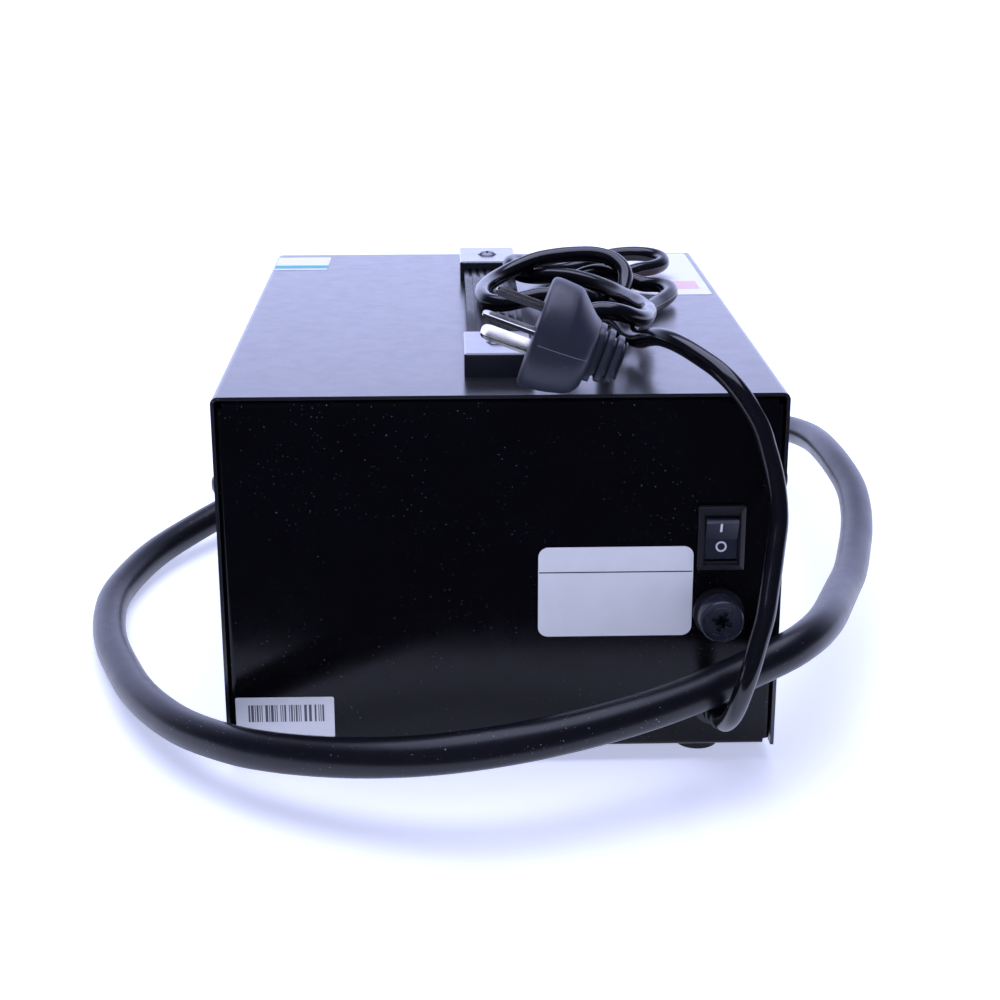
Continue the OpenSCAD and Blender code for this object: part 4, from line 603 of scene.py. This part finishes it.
def arc(cx, cz, r, width, a0, a1, steps):
    """Quads along an arc from a0 to a1 degrees."""
    out = []
    for k in range(steps):
        a, b = (math.radians(a0 + (a1 - a0) * j / steps) for j in (k, k + 1))
        out.append([(cx + q * math.cos(t), cz + q * math.sin(t)) for q, t in
                    ((r - width / 2, a), (r + width / 2, a), (r + width / 2, b), (r - width / 2, b))])
    return out


STROKE_W, STROKE_STEP = 0.76, 0.5
stroke_x = (SWITCH[0], SWITCH[0] + STROKE_W)
stroke = [[(stroke_x[0], z), (stroke_x[1], z), (stroke_x[1], z + STROKE_STEP), (stroke_x[0], z + STROKE_STEP)]
          for z in np.arange(84.5, 87.6, STROKE_STEP)]
circle = arc(SWITCH[0], 79.0, 1.55, 0.6, 0, 360, 40)
print_on("rocker_marks", "power_rocker", "power_rocker", stroke + circle, "white_mark")

# Fuse cap: a smooth cap with a chamfer, a sunk face and a cross recess
FUSE = np.array((-72.5, 0.0, 55.5))
CAP_FACE_Y = 134.15
CROSS_TURN = 20
fuse_axes = (np.array((1.0, 0, 0)), np.array((0, 0, 1.0)), np.array((0, 1.0, 0)))


def cross_ring(size, y, n=96, arm=0.85, span=3.6):
    """A loop that follows a cross of four arms."""
    out = []
    for k in range(n):
        t = 2 * math.pi * k / n
        u = (t - math.radians(CROSS_TURN)) % (math.pi / 2)
        u = min(u, math.pi / 2 - u)
        reach = min(span, arm / max(math.sin(u), 1e-3))
        r = max(arm, reach) * size
        out.append((r * math.cos(t), r * math.sin(t), y))
    return out


cap_rows = [(127.3, 5.2), (127.35, 7.3), (127.6, 7.55), (131.0, 7.5), (134.0, 7.4), (134.6, 7.1), (134.8, 6.85),
            (134.75, 6.55), (134.2, 6.4), (CAP_FACE_Y, 6.2), (CAP_FACE_Y, 4.0)]
cap_loops = [oval(r, r, y, n=96) for y, r in cap_rows]
cap_loops += [cross_ring(1.0, CAP_FACE_Y), cross_ring(0.92, 132.9), cross_ring(0.1, 132.8)]
cap_place = ("fuse_plastic", "fuse_cap", "black_plastic", FUSE, fuse_axes)
fuse_cap = loft("fuse_cap_moulding", cap_loops, *cap_place, close=(False, True), crease=35)
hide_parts("fuse_cap")
neck_in = [(127.3, 4.7), (122.2, 4.7), (122.0, 4.5), (122.0, 2.75), (125.1, 2.75)]
neck_loops = [oval(r, r, y, n=48) for y, r in neck_in]
loft("fuse_cap_neck", neck_loops, *cap_place, close=(False, True), crease=35)
cap_marks = Sheet((FUSE[0], CAP_FACE_Y, FUSE[2]), **rear)
for width, a0, a1, steps in ((0.35, 55, 125, 12), (0.3, 235, 262, 5), (0.3, 278, 305, 5)):
    for quad in arc(0, 0, 4.9, width, a0, a1, steps):
        cap_marks.lay(quad, "faint_mark", 0.0, 0.05)
# A near-black star laid flat over the cross-shaped hollow is painted shade inside it.
star = []
for k in range(4):
    for degrees, r in ((CROSS_TURN - 8, 2.5), (CROSS_TURN + 8, 2.5), (CROSS_TURN + 45, 0.95)):
        t = math.radians(degrees + 90 * k)
        star.append((r * math.cos(t), r * math.sin(t)))
cap_marks.lay(star, "painted_recess_shade", 0.0, 0.02)
cap_marks.make("fuse_cap_marks", "fuse_cap")

# Front panel prints: dial ticks and numbers, key arrows and the display's frame
PRINT = 0.03
DIAL = (50, 44)
DIAL_NUMBERS, DIAL_START, DIAL_SWEEP = 9, 225, 270
ARC_STEPS, ARC_IN, ARC_OUT = 40, 16.4, 16.75
TICK_IN, TICK_OUT, TICK_HALF = 16.6, 19.2, 0.35
NUMBER_AT, NUMBER_HIGH, NUMBER_STROKE = 22.6, 2.6, 0.35
face = Sheet((0, -124.9, 0), (1, 0, 0), (0, 0, 1))
SEGMENTS = {
    "a": (0, 1, 1, 0), "b": (0.5, 0.5, 0, 1), "c": (0.5, -0.5, 0, 1), "d": (0, -1, 1, 0),
    "e": (-0.5, -0.5, 0, 1), "f": (-0.5, 0.5, 0, 1), "g": (0, 0, 1, 0),
}
DIGITS = ("abcdef", "bc", "abged", "abgcd", "fgbc", "afgcd", "afgecd", "abc", "abcdefg")


def mark(outline, shift=(0, 0)):
    face.lay(outline, "white_mark", 0.0, PRINT, shift)


def digit(value, x, z):
    """A plain number drawn with straight strokes."""
    wide, half, thick = NUMBER_HIGH * 0.5, NUMBER_HIGH / 2, NUMBER_STROKE
    for name in DIGITS[value]:
        cx, cz, flat, tall = SEGMENTS[name]
        stroke_box = box_outline(wide + thick if flat else thick, half + thick if tall else thick)
        mark(stroke_box, (x + cx * wide, z + cz * half))


for k in range(DIAL_NUMBERS):
    a = math.radians(DIAL_START - DIAL_SWEEP * k / (DIAL_NUMBERS - 1))
    c, d = math.cos(a), math.sin(a)
    tick = ((TICK_IN, -TICK_HALF), (TICK_OUT, -TICK_HALF), (TICK_OUT, TICK_HALF), (TICK_IN, TICK_HALF))
    mark([(DIAL[0] + r * c - t * d, DIAL[1] + r * d + t * c) for r, t in tick])
    digit(k, DIAL[0] + NUMBER_AT * c, DIAL[1] + NUMBER_AT * d)
for k in range(ARC_STEPS):
    a0, a1 = (math.radians(DIAL_START - DIAL_SWEEP * j / ARC_STEPS) for j in (k, k + 1))
    corners = ((ARC_OUT, a1), (ARC_OUT, a0), (ARC_IN, a0), (ARC_IN, a1))
    mark([(DIAL[0] + r * math.cos(t), DIAL[1] + r * math.sin(t)) for r, t in corners])
KEY_Z = 105.4
for x, way in ((-42, 1), (-18, -1)):
    arrow = [(x - 2.4, KEY_Z - 1.6 * way), (x + 2.4, KEY_Z - 1.6 * way), (x, KEY_Z + 2.2 * way)]
    mark(arrow if way > 0 else arrow[::-1])
DISPLAY = (28, 94)
outer, inner = rounded(62, 34, 2.5), rounded(61.2, 33.2, 2.2)
for k in range(len(outer)):
    l = (k + 1) % len(outer)
    mark([outer[k], outer[l], inner[l], inner[k]], DISPLAY)
face.make("front_prints")

# Floor, light and what the gloss sees
FLOOR_HALF, FLOOR_SEAM = 9.0, 0.226
m = bpy.data.materials.new("pale_floor")
m.use_nodes = True
b = m.node_tree.nodes["Principled BSDF"]
g = Graph(m.node_tree)
b.inputs["Base Color"].default_value = (0.90, 0.90, 0.90, 1)
b.inputs["Roughness"].default_value = 0.55
b.inputs["Specular IOR Level"].default_value = 0.12
b.inputs["Emission Color"].default_value = (0.68, 0.73, 1.0, 1)
away = g.add("ShaderNodeVectorMath", {0: g.add("ShaderNodeTexCoord").outputs["Object"]}, operation="LENGTH")
g.put(b.inputs["Emission Strength"], g.ramp(away.outputs["Value"], 0.3, 2.6, 0.66, 1.36, smooth=True))
for name, y0, y1, shown in (("floor", -FLOOR_HALF, FLOOR_SEAM, True),
                            ("floor_near_camera", FLOOR_SEAM, FLOOR_HALF, False)):
    plane = bpy.data.meshes.new(name)
    corners = [(-FLOOR_HALF, y0, 0), (FLOOR_HALF, y0, 0), (FLOOR_HALF, y1, 0), (-FLOOR_HALF, y1, 0)]
    plane.from_pydata(corners, [], [(0, 1, 2, 3)])
    plane.materials.append(m)
    ground = bpy.data.objects.new(name, plane)
    bpy.context.scene.collection.objects.link(ground)
    ground.visible_glossy = shown

world = bpy.data.worlds.new("studio")
bpy.context.scene.world = world
world.use_nodes = True
w = Graph(world.node_tree)
world.node_tree.nodes.clear()
heading = w.add("ShaderNodeTexCoord").outputs["Generated"]
split = w.add("ShaderNodeSeparateXYZ", {"Vector": heading})
behind = w.ramp(split.outputs["Y"], -0.30, -0.88, smooth=True)
low = w.ramp(split.outputs["Z"], 0.62, 0.30, 0.12, 1.0, smooth=True)
power = w.math("ADD", w.math("MULTIPLY", w.math("MULTIPLY", behind, low), 2.1), 0.06)
glow = w.add("ShaderNodeBackground", {"Color": (0.58, 0.63, 1.0, 1), "Strength": power})
plain = w.add("ShaderNodeBackground", {"Color": (0.94, 0.97, 1.0, 1), "Strength": 1.0})
seen = w.add("ShaderNodeLightPath").outputs["Is Camera Ray"]
pick = w.add("ShaderNodeMixShader", {0: seen, 1: glow.outputs[0], 2: plain.outputs[0]})
w.add("ShaderNodeOutputWorld", {"Surface": pick.outputs[0]})


def softbox(name, at, target, size, watts, colour):
    lamp = bpy.data.lights.new(name, "AREA")
    lamp.shape = "RECTANGLE"
    lamp.size, lamp.size_y = size, size
    lamp.energy = watts
    lamp.color = colour
    obj = bpy.data.objects.new(name, lamp)
    bpy.context.scene.collection.objects.link(obj)
    obj.location = at
    obj.rotation_mode = "QUATERNION"
    obj.rotation_quaternion = (Vector(target) - Vector(at)).to_track_quat("-Z", "Y")
    return obj


FILL_AT, FILL_TARGET, FILL_SIZE = (0.42, 1.8, 0.95), (0, 0.1, 0.08), 1.1
softbox("top_light", (0, -0.12, 1.7), (0, 0, 0), 2.0, 50, (0.66, 0.70, 1.0))
fill = softbox("fill_light", FILL_AT, FILL_TARGET, FILL_SIZE, 4.4, (0.60, 0.65, 1.0))
fill.visible_glossy = False
shine = softbox("fill_shine", FILL_AT, FILL_TARGET, FILL_SIZE, 12, (0.56, 0.60, 1.0))
shine.visible_diffuse = False
